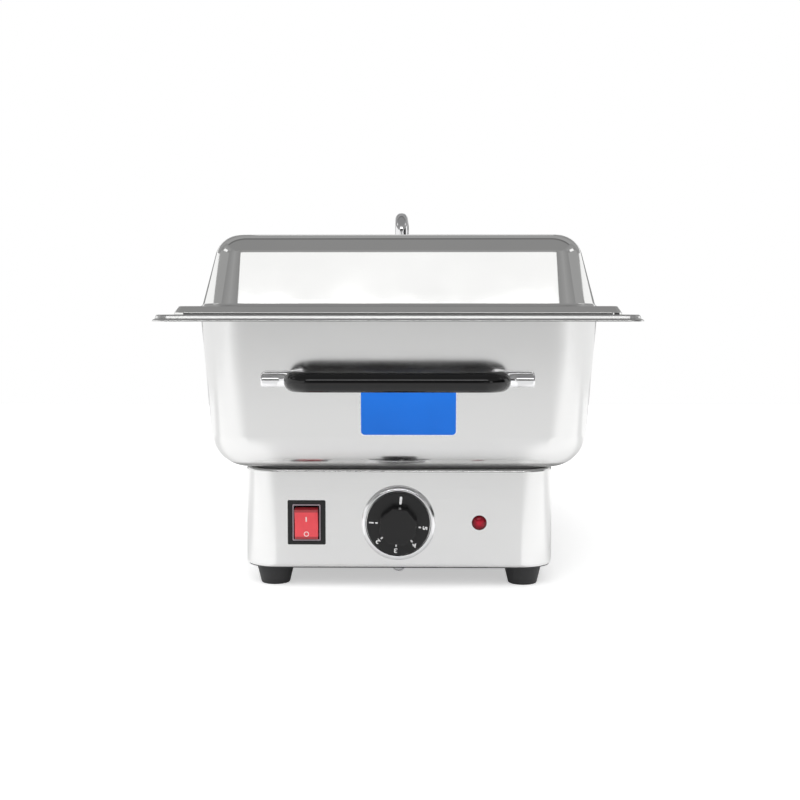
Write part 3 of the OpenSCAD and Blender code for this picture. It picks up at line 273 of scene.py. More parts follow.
class Finish(Graph):
    """A material whose colour, gloss and relief are worked out from the piece's own coordinates."""

    def __init__(self, name):
        self.material = bpy.data.materials.new(name)
        self.material.use_nodes = True
        super().__init__(self.material.node_tree)
        self.tree.nodes.clear()

    def place(self, move=(0, 0, 0), stretch=(1, 1, 1)):
        where = self.node("ShaderNodeTexCoord", output="Object")
        return self.node("ShaderNodeMapping", {"vector_type": "TEXTURE"},
                         {"Vector": where, "Location": move, "Scale": stretch})

    def noise(self, grain, detail=2.0, contrast=1.0):
        """Noise spread about 0, its grain size in metres, the same or given along each axis."""
        stretch = grain if isinstance(grain, tuple) else (grain,) * 3
        made = self.node("ShaderNodeTexNoise", None, {
            "Vector": self.place(stretch=stretch), "Scale": 1.0, "Detail": detail})
        return (made - 0.5) * contrast

    def mix(self, amount, first, second):
        pair = [(*end, 1.0) if isinstance(end, tuple) else end for end in (first, second)]
        return self.node("ShaderNodeMix", {"data_type": "RGBA", "clamp_factor": True},
                         {"Factor": amount, 6: pair[0], 7: pair[1]}, output=2)

    def shades(self, noise, rgb, low, high):
        """A colour that wanders between two tones of itself."""
        return self.mix(noise + 0.5, tone(rgb, low), tone(rgb, high))

    def relief(self, height, depth):
        return self.node("ShaderNodeBump", None,
                         {"Height": height, "Strength": 1.0, "Distance": depth})

    def output(self, shader):
        self.node("ShaderNodeOutputMaterial", None, {"Surface": shader})
        return self.material

    def surface(self, sockets):
        return self.output(self.node("ShaderNodeBsdfPrincipled", None, sockets))


def tone(rgb, factor):
    return tuple(min(1.0, value * factor) for value in rgb)


def finish(make):
    """Keeps one material for each name."""
    def kept(name, rgb, *values, **named):
        return bpy.data.materials.get(name) or make(Finish(name), tuple(rgb), *values, **named)
    return kept


@finish
def steel(f, rgb, rough, lines, waves, way=0.0, left=1.0):
    """Drawn sheet steel: fine lines along the walls over slow, faint waves.

    Faces that look up (way 1) or down (way -1) are rougher, and their colour keeps only a share
    (left) of the steel's: painted shade for the dim gap that they mirror."""
    line = f.noise((0.09, 0.09, 0.0009), 3.0, lines)
    smear = f.noise((0.05, 0.05, 0.03), 3.0)
    facing = f.part("Z", f.node("ShaderNodeTexCoord", output="Normal")) * way
    # Painted shade mask: faces that look up or down get a darker colour, and a rougher surface.
    painted_shade_mask = f.rise(facing, 0.83, 0.90, "LINEAR")
    shade = f.shades(smear, rgb, 0.965, 1.02)
    return f.surface({"Base Color": f.mix(painted_shade_mask, shade, tone(rgb, left)), "Metallic": 1.0,
                      "Roughness": (line + smear * 0.10 + painted_shade_mask * 0.15 + rough).most(0.03),
                      "Normal": f.relief(f.noise((0.10, 0.10, 0.06), 1.0), waves)})


@finish
def chrome(f, rgb, rough):
    """Polished rod or plated ring, with faint turning marks."""
    smear = f.noise(0.02, 3.0)
    mark = f.noise((0.0012, 0.006, 0.0012))
    return f.surface({"Base Color": f.shades(smear, rgb, 0.95, 1.02), "Metallic": 1.0,
                      "Roughness": (smear * 0.06 + mark * 0.04 + rough).most(0.02)})


@finish
def plated(f, rgb, rough):
    """Plated or rolled small hardware, dull and slightly blotched."""
    blotch = f.noise(0.004, 4.0)
    return f.surface({"Base Color": f.shades(blotch, rgb, 0.8, 1.1), "Metallic": 1.0,
                      "Roughness": (blotch * 0.25 + rough).most(0.05),
                      "Normal": f.relief(f.noise(0.0015), 0.03 * MM)})


@finish
def plastic(f, rgb, rough, grain=0.04 * MM, coat=0.0, shine=0.5):
    """Moulded plastic: fine spark texture and handling marks in the gloss."""
    smear, spark = f.noise(0.03, 4.0), f.noise(0.0006)
    return f.surface({"Base Color": f.shades(smear, rgb, 0.85, 1.15),
                      "Roughness": (smear * 0.12 + spark * 0.08 + rough).most(0.05),
                      "Coat Weight": coat, "Coat Roughness": 0.06, "Specular IOR Level": shine,
                      "Normal": f.relief(spark, grain)})


@finish
def rubber(f, rgb):
    """Moulded rubber, matt, with a bloom in patches."""
    bloom = f.noise(0.008, 4.0)
    return f.surface({"Base Color": f.shades(bloom, rgb, 0.8, 1.5), "Roughness": bloom * 0.2 + 0.58,
                      "Normal": f.relief(f.noise(0.0008), 0.04 * MM)})


@finish
def fibre(f, rgb):
    """Pressed mineral wool."""
    tuft = f.noise((0.006, 0.006, 0.002), 6.0)
    return f.surface({"Base Color": f.shades(tuft, rgb, 0.6, 1.1), "Roughness": tuft * 0.1 + 0.9,
                      "Normal": f.relief(tuft, 0.6 * MM)})


@finish
def lens(f, rgb, centre, radius):
    """Coloured lens with painted light and shade: a painted glow where the bulb sits behind it,
    dark towards its edge.
    """
    away = f.node("ShaderNodeVectorMath", {"operation": "LENGTH"}, {0: f.place(centre)}, "Value")
    ripple = f.noise(0.0015, 2.0, 0.4)
    # Painted light and shade: the colour runs from bright in the middle to dark at the edge.
    stops = [(0.0, tone(rgb, 1.25)), (0.45, rgb), (0.80, tone(rgb, 0.35)), (1.0, tone(rgb, 0.12))]
    shade = f.node("ShaderNodeValToRGB", {"stops": stops}, {0: away / radius + ripple})
    return f.surface({"Base Color": shade, "Roughness": ripple * 0.1 + 0.14,
                      "Specular IOR Level": 0.3})


@finish
def rocker_plastic(f, rgb, centre, tall):
    """Tinted rocker plastic, with painted shade: deeper in colour towards its ends."""
    height = f.part("Z", f.place(centre))
    # Painted shade: bands at the rocker's top and foot are darkened, for the shade of its end face
    # and recess.
    top, foot = f.rise(height, 0.33 * tall, 0.38 * tall), f.rise(height, -0.44 * tall, -0.47 * tall)
    cloud = f.noise(0.006, 3.0)
    shade = f.mix(top.most(foot), f.shades(cloud, rgb, 0.86, 1.12), tone(rgb, 0.45))
    return f.surface({"Base Color": shade, "Roughness": cloud * 0.1 + 0.30, "Coat Weight": 0.25,
                      "Normal": f.relief(f.noise(0.001), 0.03 * MM)})


@finish
def enamel(f, rgb, centre, half_height):
    """Enamelled plate, with painted shade: a little deeper in colour towards its foot."""
    height, cloud = f.part("Z", f.place(centre)), f.noise(0.030, 1.0)
    # Painted shade: the plate's tone runs from lighter at its top to darker at its foot.
    shade = f.shades(cloud * 0.3 - height * (0.5 / half_height), rgb, 1.15, 0.78)
    return f.surface({"Base Color": shade, "Roughness": cloud * 0.08 + 0.32,
                      "Specular IOR Level": 0.22})


@finish
def ink(f, rgb):
    """Printed marks, slightly worn."""
    worn = f.noise(0.0012, 4.0)
    return f.surface({"Base Color": f.shades(worn * 1.6, rgb, 0.75, 1.0),
                      "Roughness": worn * 0.2 + 0.45})


class Extent:
    """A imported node's box at rest: its corners, its middle and half its size."""

    def __init__(self, node):
        self.low, self.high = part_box(node)
        self.middle, self.half = (self.low + self.high) / 2, (self.high - self.low) / 2


def new_piece(name, data):
    piece = bpy.data.objects.new(name, data)
    bpy.context.scene.collection.objects.link(piece)
    return piece


def drop(*helpers):
    for helper in helpers:
        bpy.data.objects.remove(helper)


def made_mesh(piece):
    """The mesh that a piece's modifiers or letters make."""
    seen = piece.evaluated_get(bpy.context.evaluated_depsgraph_get())
    return bpy.data.meshes.new_from_object(seen)


def plain(piece):
    """Replaces a piece's modifiers by the mesh that they make."""
    mesh = made_mesh(piece)
    piece.modifiers.clear()
    piece.data = mesh
    return piece


def smooth(piece, edge=32):
    """Smooth shading, with flat faces kept flat and edges sharper than an angle kept crisp."""
    piece.data.shade_smooth()
    piece.data.set_sharp_from_angle(angle=math.radians(edge))
    piece.modifiers.new("normals", "WEIGHTED_NORMAL").keep_sharp = True
    return plain(piece)


def thicken(piece, thick):
    """Gives a sheet its thickness, behind the faces that it was made with."""
    wall = piece.modifiers.new("sheet", "SOLIDIFY")
    wall.thickness, wall.offset = thick, -1.0
    wall.use_even_offset = wall.use_quality_normals = True
    return plain(piece)


def soften(piece, width, segments=3):
    """Rounds the edges of a solid."""
    bevel = piece.modifiers.new("edges", "BEVEL")
    bevel.width, bevel.segments, bevel.limit_method = width, segments, "ANGLE"
    bevel.angle_limit = math.radians(28)
    return plain(piece)


def cut(piece, *cutters):
    """Cuts other solids out of a piece."""
    for cutter in cutters:
        hole = piece.modifiers.new("hole", "BOOLEAN")
        hole.operation, hole.solver, hole.object = "DIFFERENCE", "EXACT", cutter
    plain(piece)
    drop(*cutters)
    return piece


def join(name, pieces):
    """One mesh from several pieces, which are used up."""
    made = bmesh.new()
    for piece in pieces:
        made.from_mesh(piece.data)
    mesh = bpy.data.meshes.new(name)
    made.to_mesh(mesh)
    made.free()
    drop(*pieces)
    return new_piece(name, mesh)


def fit(piece, body, slot, material, *nodes):
    """Hands a finished piece over to the frame."""
    piece.data.materials.clear()
    piece.data.materials.append(material)
    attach(piece, body)
    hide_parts(*nodes)
    return piece


def moved(piece, matrix):
    piece.data.transform(matrix)
    return piece


def lifted(x, y, z):
    return Matrix.Translation((x, y, z))


def turned(radians, axis):
    return Matrix.Rotation(radians, 4, axis)


def on_wall(spot, y, lean=0.0):
    """Puts a piece made flat, facing up, on the front wall, leaning back."""
    return lifted(spot.x, y, spot.z) @ turned(math.pi / 2 + lean, "X")


def on_back(spot, y):
    """Puts a piece made flat, facing up, on the back wall."""
    return lifted(spot.x, y, spot.z) @ turned(-math.pi / 2, "X")


def bent(points, radii, steps=10):
    """An open path in a plane with its inner corners rounded."""
    path = [Vector(points[0])]
    for before, at, after, radius in zip(points, points[1:], points[2:], radii):
        at = Vector(at)
        back, on = (Vector(before) - at).normalized(), (Vector(after) - at).normalized()
        half = back.angle(on) / 2
        to_centre = (back + on).normalized() * (radius / math.sin(half))
        start, end = (way * (radius / math.tan(half)) - to_centre for way in (back, on))
        turn = math.atan2(start.x * end.y - start.y * end.x, start.dot(end))
        path += [at + to_centre + Matrix.Rotation(turn * i / steps, 2) @ start
                 for i in range(steps + 1)]
    return path + [Vector(points[-1])]


def box_loop(half_w, half_l, radius, z, steps):
    """A rounded rectangle at a height, turning left seen from above."""
    loop = []
    for quarter, (sx, sy) in enumerate(((1, 1), (-1, 1), (-1, -1), (1, -1))):
        for i in range(steps + 1):
            turn = math.pi / 2 * (quarter + i / steps)
            loop.append((sx * (half_w - radius) + radius * math.cos(turn),
                         sy * (half_l - radius) + radius * math.sin(turn), z))
    return loop


def ring_loop(radius, z, sides, start=0.0):
    """A circle at a height, or any closed line given by its radius at each angle."""
    reach = radius if callable(radius) else lambda turn: radius
    turns = [start + 2 * math.pi * i / sides for i in range(sides)]
    return [(reach(t) * math.cos(t), reach(t) * math.sin(t), z) for t in turns]


def flats(sides, across, z, start=0.0):
    """A regular outline given by its width over the flats."""
    return ring_loop(across / 2 / math.cos(math.pi / sides), z, sides, start)


def loft(name, loops, first=False, last=False, closed=False):
    """Faces through a row of loops, with its ends capped or joined."""
    size, rows = len(loops[0]), len(loops)
    faces = [(s * size + i, s * size + (i + 1) % size,
              (s + 1) % rows * size + (i + 1) % size, (s + 1) % rows * size + i)
             for s in range(rows if closed else rows - 1) for i in range(size)]
    if first:
        faces.append(tuple(reversed(range(size))))
    if last:
        faces.append(tuple(range((rows - 1) * size, rows * size)))
    mesh = bpy.data.meshes.new(name)
    mesh.from_pydata([point for loop in loops for point in loop], [], faces)
    return new_piece(name, mesh)


def solid(name, loops):
    """A loft with both ends capped."""
    return loft(name, loops, first=True, last=True)


def stack(rows):
    """Rounded rectangles from half a size, an inset, a corner radius and a height each."""
    return [box_loop(w - inset, h - inset, corner, z, 6) for (w, h), inset, corner, z in rows]


def lathe(name, section, sides=96, **ends):
    """A turned piece from its section, as radius and height."""
    return loft(name, [ring_loop(r, z, sides) for r, z in section], **ends)


def pin(name, radius, low, high, sides=48):
    """A round pin between two heights."""
    return solid(name, [ring_loop(radius, z, sides) for z in (low, high)])


def tube(name, inner, outer, low, high, sides):
    """A tube or a flat ring between two heights."""
    section = [(inner, low), (outer, low), (outer, high), (inner, high)]
    return lathe(name, section, sides, closed=True)


def pressed(name, p, z, *rings, **ends):
    """A pressed sheet: sections that go round rounded rectangles, each given by half its size,
    its corner and a path whose x is counted from the corners' axes."""
    loops = [box_loop(w - corner + x, l - corner + x, x, z + y, p.corner_steps)
             for w, l, corner, path in rings for x, y in path]
    return smooth(thicken(loft(name, loops, **ends), p.sheet))


def tub_path(p, corner, floor_bend, height):
    """Section of a pressed tub from its floor's bend up and out to its rim, at height 0."""
    foot = corner - height * math.tan(p.draft)
    return bent([(0, -height), (foot, -height), (corner, 0), (corner + 2 * p.fold, 0)],
                [floor_bend, p.fold], 16)[1:]


def curve_path(name, points, rounding=0.0):
    """A path for a node tree to follow, with more points where its ends are rounded."""
    points = [Vector(point) for point in points]
    if rounding:
        steps = [rounding * (1 - math.cos(math.radians(a))) for a in (15, 30, 45, 60, 75, 90)]
        head, tail = (points[1] - points[0]).normalized(), (points[-2] - points[-1]).normalized()
        points = ([points[0]] + [points[0] + head * d for d in steps] + points[1:-1]
                  + [points[-1] + tail * d for d in reversed(steps)] + [points[-1]])
    path = bpy.data.curves.new(name, "CURVE")
    path.dimensions = "3D"
    line = path.splines.new("POLY")
    line.points.add(len(points) - 1)
    for point, place in zip(line.points, points):
        point.co = (*place, 1.0)
    return new_piece(name, path)


def places(name, rows):
    """Points for a node tree to put copies on, each with its turn."""
    mesh = bpy.data.meshes.new(name)
    mesh.from_pydata([place for place, turn in rows], [], [])
    turns = mesh.attributes.new("turn", "FLOAT_VECTOR", "POINT")
    for item, (place, turn) in zip(turns.data, rows):
        item.vector = (0, 0, turn)
    return new_piece(name, mesh)


class Recipe(Graph):
    """A geometry node tree with named inputs."""

    def __init__(self, name, **inputs):
        tree = bpy.data.node_groups.new(name, "GeometryNodeTree")
        super().__init__(tree)
        tree.interface.new_socket("Geometry", in_out="OUTPUT", socket_type="NodeSocketGeometry")
        for key, kind in inputs.items():
            tree.interface.new_socket(key, in_out="INPUT", socket_type="NodeSocket" + kind)
        source = tree.nodes.new("NodeGroupInput")
        self.inputs = {key: Wire(self, source.outputs[key]) for key in inputs}

    def shape_of(self, key):
        return self.node("GeometryNodeObjectInfo", {"transform_space": "ORIGINAL"},
                         {"Object": self.inputs[key]}, output="Geometry")

    def end(self, geometry):
        whole = self.node("GeometryNodeRealizeInstances", None, {"Geometry": geometry})
        done = self.node("GeometryNodeSetMaterial", None,
                         {"Geometry": whole, "Material": self.inputs["Finish"]})
        self.node("NodeGroupOutput", None, {"Geometry": done})
        return self

    def make(self, name, **values):
        """Runs the tree with these inputs and keeps its result as a plain mesh."""
        piece = new_piece(name, bpy.data.meshes.new(name))
        run = piece.modifiers.new(name, "NODES")
        run.node_group = self.tree
        for item in self.tree.interface.items_tree:
            if item.in_out == "INPUT":
                run[item.identifier] = values[item.name]
        return plain(piece)


def rod_recipe():
    """A round bar along a path with bent corners and rounded ends."""
    r = Recipe("Bent bar", Path="Object", Diameter="Float", Bend="Float", Rounding="Float",
               Finish="Material")
    line = r.node("GeometryNodeFilletCurve", {"mode": "POLY"}, {
        "Curve": r.shape_of("Path"), "Radius": r.inputs["Bend"], "Count": 16})
    along = r.node("GeometryNodeSplineParameter", output="Length")
    whole = r.node("GeometryNodeSplineLength", output="Length")
    rounding, radius = r.inputs["Rounding"], r.inputs["Diameter"] * 0.5
    gone = rounding - along.least(whole - along).least(rounding)
    edge = (rounding * rounding - gone * gone).most(0.0) ** 0.5
    ring = r.node("GeometryNodeCurvePrimitiveCircle", None, {"Resolution": 40, "Radius": radius})
    return r.end(r.node("GeometryNodeCurveToMesh", None, {
        "Curve": line, "Profile Curve": ring, "Fill Caps": True,
        "Scale": (radius - rounding + edge) / radius}))


def copies_recipe():
    """Copies of one shape on a row of places."""
    r = Recipe("Copies", Places="Object", Shape="Object", Finish="Material")
    turn = r.node("GeometryNodeInputNamedAttribute", {"data_type": "FLOAT_VECTOR"},
                  {"Name": "turn"})
    turn = r.node("FunctionNodeEulerToRotation", None, {"Euler": turn})
    return r.end(r.node("GeometryNodeInstanceOnPoints", None, {
        "Points": r.shape_of("Places"), "Instance": r.shape_of("Shape"), "Rotation": turn}))


def shell_recipe():
    """A bent section carried round a rounded rectangle."""
    r = Recipe("Shell", Width="Float", Length="Float", Corner="Float", Steps="Int",
               Section="Object", Finish="Material")
    line = r.node("GeometryNodeCurvePrimitiveQuadrilateral", {"mode": "RECTANGLE"},
                  {"Width": r.inputs["Width"], "Height": r.inputs["Length"]})
    line = r.node("GeometryNodeFilletCurve", {"mode": "POLY"}, {
        "Curve": line, "Radius": r.inputs["Corner"], "Count": r.inputs["Steps"]})
    line = r.node("GeometryNodeSetCurveNormal", {"mode": "Z_UP"}, {"Curve": line})
    return r.end(r.node("GeometryNodeCurveToMesh", None, {
        "Curve": line, "Profile Curve": r.shape_of("Section")}))


def rod(name, points, diameter, bend, rounding, material):
    """A bent bar, smooth along its length."""
    path = curve_path(name + "_path", points, rounding)
    piece = rod_recipe().make(name, Path=path, Diameter=diameter, Bend=bend, Rounding=rounding,
                              Finish=material)
    drop(path)
    return smooth(piece, 40)


def copies(name, shape, rows, material):
    """Copies of a shape, which is used up, on rows of a place and a turn about the vertical."""
    spots = places(name + "_places", rows)
    piece = copies_recipe().make(name, Places=spots, Shape=shape, Finish=material)
    drop(spots, shape)
    return smooth(piece)


class DISH_OT_water_pan(bpy.types.Operator):
    """Press the water pan with its ledge and flared lip"""
    bl_idname = "dish.water_pan"
    bl_label = "Water pan"

    def execute(self, context):
        dish = context.scene.chafing_dish
        p, box = dish.pan, Extent("water_pan")
        under = box.high.z - p.sheet
        ledge_w, ledge_l = box.high.x - p.lip_reach, box.high.y - p.lip_reach
        tub = tub_path(p, p.water_corner, p.water_floor, under - box.low.z)
        edge, hem = p.ledge_corner, p.ledge_corner + p.lip_reach - p.sheet
        flare, fall, lean, tip = mm(0.7, 1.6, 0.8, 0.1)
        lip = bent([(edge - RUN_IN, 0), (edge + lean / 2, 0),
                    (edge + 1.5 * lean, fall - p.lip_drop),
                    (hem - 2.5 * tip, flare - p.lip_drop), (hem - 1.5 * tip, -p.lip_drop)],
                   mm(0.7, 1.0, 0.3), 8)
        pan = pressed("water_pan_shell", p, under,
                      (ledge_w - p.ledge, ledge_l - p.ledge, p.water_corner, tub),
                      (ledge_w, ledge_l, edge, lip), first=True)
        # Painted shade: the pan's downward faces keep a third of the colour, for the dim gap over
        # the base.
        satin = steel("Satin pan steel", dish.finish.pan, rough=0.17, lines=0.06,
                      waves=0.10 * MM, way=-1.0, left=0.33)
        fit(pan, "base", "pan_steel", satin, "water_pan")
        return {"FINISHED"}


class DISH_OT_food_pan(bpy.types.Operator):
    """Press the food pan with its rim and hem"""
    bl_idname = "dish.food_pan"
    bl_label = "Food pan"

    def execute(self, context):
        dish = context.scene.chafing_dish
        p, box = dish.pan, Extent("food_pan")
        high, under = box.high, box.high.z - p.sheet
        tub = tub_path(p, p.food_corner, p.food_floor, under - box.low.z)
        edge = p.food_rim_corner - p.sheet
        hem = bent([(edge - RUN_IN, 0), (edge, 0), (edge, p.sheet - p.food_hem)], mm(1.0), 8)
        pan = pressed("food_pan_shell", p, under,
                      (high.x - p.food_rim, high.y - p.food_rim, p.food_corner, tub),
                      (high.x - p.sheet, high.y - p.sheet, edge, hem), first=True)
        polished = steel("Polished pan steel", dish.finish.pan, rough=0.12, lines=0.05,
                         waves=0.10 * MM)
        fit(pan, "food_pan", "food_steel", polished, "food_pan")
        return {"FINISHED"}


class DISH_OT_lid(bpy.types.Operator):
    """Press the domed lid with its flange and skirt"""
    bl_idname = "dish.lid"
    bl_label = "Lid"

    def execute(self, context):
        dish = context.scene.chafing_dish
        p, fold, box = dish.lid, dish.pan.fold, Extent("lid_cover")
        edge, foot = p.flange_corner, p.dome_corner
        rise, flat = box.high.z - box.low.z, p.skirt_height
        skirt = bent([(edge + p.skirt_reach, 0), (edge + p.skirt_reach - 0.15 * MM, p.skirt_foot),
                      (edge, flat), (edge - RUN_IN, flat)], mm(1.0, 2.0), 8)
        lean = (rise - flat) * math.tan(p.dome_lean)
        dome = bent([(foot + 2 * fold, flat), (foot, flat), (foot - lean, rise), (0, rise)],
                    [fold, p.top_bend], 24)[:-1]
        rim_w, rim_l = box.high.x - p.skirt_reach, box.high.y - p.skirt_reach
        lid = pressed("lid_shell", dish.pan, box.low.z, (rim_w, rim_l, edge, skirt),
                      (rim_w - p.flange, rim_l - p.flange, foot, dome), last=True)
        mirror = steel("Mirror lid steel", dish.finish.lid, rough=0.055, lines=0.02,
                       waves=0.12 * MM)
        fit(lid, "lid", "lid_steel", mirror, "lid_cover")
        return {"FINISHED"}


class DISH_OT_lid_handle(bpy.types.Operator):
    """Bend the lid handle"""
    bl_idname = "dish.lid_handle"
    bl_label = "Lid handle"

    def execute(self, context):
        dish = context.scene.chafing_dish
        thick, box = dish.handle.rod, Extent("lid_handle")
        foot = Extent("lid_cover").high.z
        leg, top = box.high.y - thick / 2, box.high.z - thick / 2
        shiny = chrome("Polished rod", dish.finish.chrome, rough=0.07)
        bar = rod("lid_handle_bar", [
            (0, -leg, foot), (0, -leg, top), (0, leg, top), (0, leg, foot)],
            thick, dish.lid.handle_bend, 0.4 * MM, shiny)
        section = ((0.5, 0), (0.72, 0), (0.72, 0.5), (0.66, 1.0), (0.52, 1.0))
        collar = lathe("collar", [(thick * r, z * MM) for r, z in section], 48, closed=True)
        stud = pin("stud", 3 * MM, box.low.z - foot, 0.2 * MM, 24)
        collars = copies("collars", join("foot", [collar, stud]),
                         [((0, side * leg, foot), 0) for side in (-1, 1)], shiny)
        fit(join("lid_handle_loop", [bar, collars]), "lid", "rod_steel", shiny, "lid_handle")
        return {"FINISHED"}


class DISH_OT_base(bpy.types.Operator):
    """Bend the base shell and cut its openings"""
    bl_idname = "dish.base"
    bl_label = "Base shell"

    def execute(self, context):
        dish = context.scene.chafing_dish
        p, box = dish.base, Extent("base_shell")
        low, high = box.low, box.high
        # Painted shade: the base's upward faces, its top flange under the pan, keep two thirds of
        # the colour.
        satin = steel("Satin base steel", dish.finish.base, rough=0.20, lines=0.07,
                      waves=0.08 * MM, way=1.0, left=0.67)
        section = bent([(-p.foot_flange, low.z), (0, low.z), (0, high.z), (-p.top_flange, high.z)],
                       [p.bend, p.bend])
        path = curve_path("base_section", [(x, -z, 0) for x, z in section])
        shell = shell_recipe().make("base_wall", Width=2 * high.x, Length=2 * high.y,
                                    Corner=p.corner, Steps=dish.pan.corner_steps, Section=path,
                                    Finish=satin)
        drop(path)
        thicken(shell, p.sheet)
        switch, dial, lamp, gland = (Extent(node) for node in (
            "switch_housing", "control_knob", "pilot_body", "cable_gland"))
        deep, overlap, corner, shaft, thread = mm(4, 3.2, 0.5, 5, 8.3)
        hole_w, hole_h = switch.half.x - overlap, switch.half.z - overlap
        window = solid("window", [box_loop(hole_w, hole_h, corner, z, 3) for z in (-deep, deep)])
        cutters = [moved(window, on_wall(switch.middle, low.y))]
        for radius, seat in ((shaft, on_wall(dial.middle, low.y)),
                             (lamp.half.x, on_wall(lamp.middle, low.y)),
                             (thread, on_back(gland.middle, high.y))):
            cutters.append(moved(pin("bore", radius, -deep, deep), seat))
        fit(smooth(cut(shell, *cutters)), "base", "base_steel", satin, "base_shell")
        return {"FINISHED"}


class DISH_OT_feet(bpy.types.Operator):
    """Mould the four rubber feet"""
    bl_idname = "dish.feet"
    bl_label = "Feet"

    def execute(self, context):
        dish = context.scene.chafing_dish
        nodes = ["foot_front_left", "foot_front_right", "foot_rear_left", "foot_rear_right"]
        boxes, recess = [Extent(node) for node in nodes], dish.base.foot_recess
        tall, wide = boxes[0].high.z, boxes[0].half.x
        taper, well, bore, chamfer = mm(3.5, 4.3, 2.3, 0.4)
        section = bent([(well, 0), (wide - taper, 0), (wide, tall - 1 * MM), (wide, tall),
                        (well / 2, tall)], [dish.base.foot_edge, *mm(0.8, 0.5)], 6)
        section += [(bore, tall), (bore, recess), (well, recess), (well, chamfer)]
        foot = lathe("foot", section, 64, closed=True)
        gum = rubber("Foot rubber", dish.finish.rubber)
        rows = [((box.middle.x, box.middle.y, 0), 0) for box in boxes]
        fit(copies("rubber_feet", foot, rows, gum), "base", "foot_rubber", gum, *nodes)
        return {"FINISHED"}


class DISH_OT_cover_screws(bpy.types.Operator):
    """Turn the cross headed screws under the base"""
    bl_idname = "dish.cover_screws"
    bl_label = "Cover screws"

    def execute(self, context):
        dish = context.scene.chafing_dish
        box, cover = Extent("bottom_screws"), Extent("bottom_cover").low.z
        top, radius, sides = cover - box.low.z, dish.base.head / 2, 64
        shank, slot_reach, slot_half, slot_deep = mm(2, 2.4, 0.55, 1.3)

        def cross(turn):
            off = (turn + math.pi / 4) % (math.pi / 2) - math.pi / 4
            return min(slot_reach / math.cos(off), slot_half / max(abs(math.sin(off)), 0.01))

        crown = [math.radians(a) for a in (0, 18, 36, 52, 64)]
        section = [(shank, cover - box.high.z), (shank, 0)]
        section += [(radius * math.cos(a), top * math.sin(a)) for a in crown]
        section += [(cross, top), (cross, top - slot_deep)]
        screw = moved(lathe("screw", section, sides, first=True, last=True), turned(math.pi, "X"))
        across, along = box.high.x - radius, box.high.y - radius
        quarter = Extent("base_shell").high.y / 2
        spots = [(0, -along), (0, along)]
        spots += [(x * across, y * quarter) for x in (-1, 1) for y in (-1, 1)]
        rows = [((x, y, cover), 0.35 * i) for i, (x, y) in enumerate(spots)]
        heads = copies("cover_screw_heads", screw, rows, zinc())
        fit(heads, "base", "fastener_steel", zinc(), "bottom_screws")
        return {"FINISHED"}


def zinc():
    return plated("Zinc plate", (0.62, 0.62, 0.63), rough=0.30)


class DISH_OT_handles(bpy.types.Operator):
    """Bend the two pan handles and mould their grips"""
    bl_idname = "dish.handles"
    bl_label = "Pan handles"

    def execute(self, context):
        dish = context.scene.chafing_dish
        p, bar_box, grip_box = dish.handle, Extent("front_handle_rod"), Extent("front_handle_grip")
        low, high, z = bar_box.low, bar_box.high, bar_box.high.z - p.rod / 2
        weld, out = high.y - p.rod / 2, low.y + p.rod / 2
        leg, tail = grip_box.high.x - p.grip / 2, grip_box.high.y
        shiny = chrome("Polished rod", dish.finish.chrome, rough=0.07)
        black = plastic("Grip plastic", dish.finish.black, rough=0.05, grain=0.01 * MM)
        for side, turn in (("front", 0.0), ("rear", math.pi)):
            bar = rod(side + "_handle_bar", [
                (low.x, weld, z), (-leg, weld, z), (-leg, out, z), (leg, out, z), (leg, weld, z),
                (high.x, weld, z)], p.rod, p.bend, p.rounding, shiny)
            sleeve = rod(side + "_handle_sleeve", [
                (-leg, tail, z), (-leg, out, z), (leg, out, z), (leg, tail, z)],
                p.grip, p.bend, p.rounding, black)
            for piece in (bar, sleeve):
                moved(piece, turned(turn, "Z"))
            fit(bar, "base", "rod_steel", shiny, side + "_handle_rod")
            fit(sleeve, "base", "grip_black", black, side + "_handle_grip")
        return {"FINISHED"}


class DISH_OT_name_plate(bpy.types.Operator):
    """Stamp the bare blue plate on the pan's front"""
    bl_idname = "dish.name_plate"
    bl_label = "Name plate"

    def execute(self, context):
        dish = context.scene.chafing_dish
        p, box, lean = dish.control, Extent("name_plate"), dish.pan.draft
        half_w, half_h, middle = box.half.x, box.half.z / math.cos(lean), box.middle
        thick, least, bevel, edge, crown, back = mm(0.6, 0.4, 0.15, 0.3, 3, 0.1)
        border, shoulder = p.plate_border, thick * 0.8

        def outline(inset, z):
            corner = max(p.plate_corner - inset, least)
            return box_loop(half_w - inset, half_h - inset, corner, z, 10)

        seat = on_wall(middle, middle.y, lean) @ lifted(0, 0, -thick / 2)
        rim = solid("plate_rim", [outline(0, 0), outline(0, thick * 0.55), outline(bevel, shoulder),
                                  outline(border, shoulder), outline(border, 0)])
        face = solid("plate_face", [outline(border, back), outline(border, shoulder),
                                    outline(border + edge, thick), outline(border + crown, thick)])
        blue = enamel("Plate enamel", dish.finish.plate, tuple(middle), half_h)
        pale = ink("Plate edge", (0.95, 0.96, 0.98))
        fit(smooth(moved(face, seat)), "base", "plate_blue", blue, "name_plate")
        fit(smooth(moved(rim, seat)), "base", "plate_blue", pale)
        return {"FINISHED"}


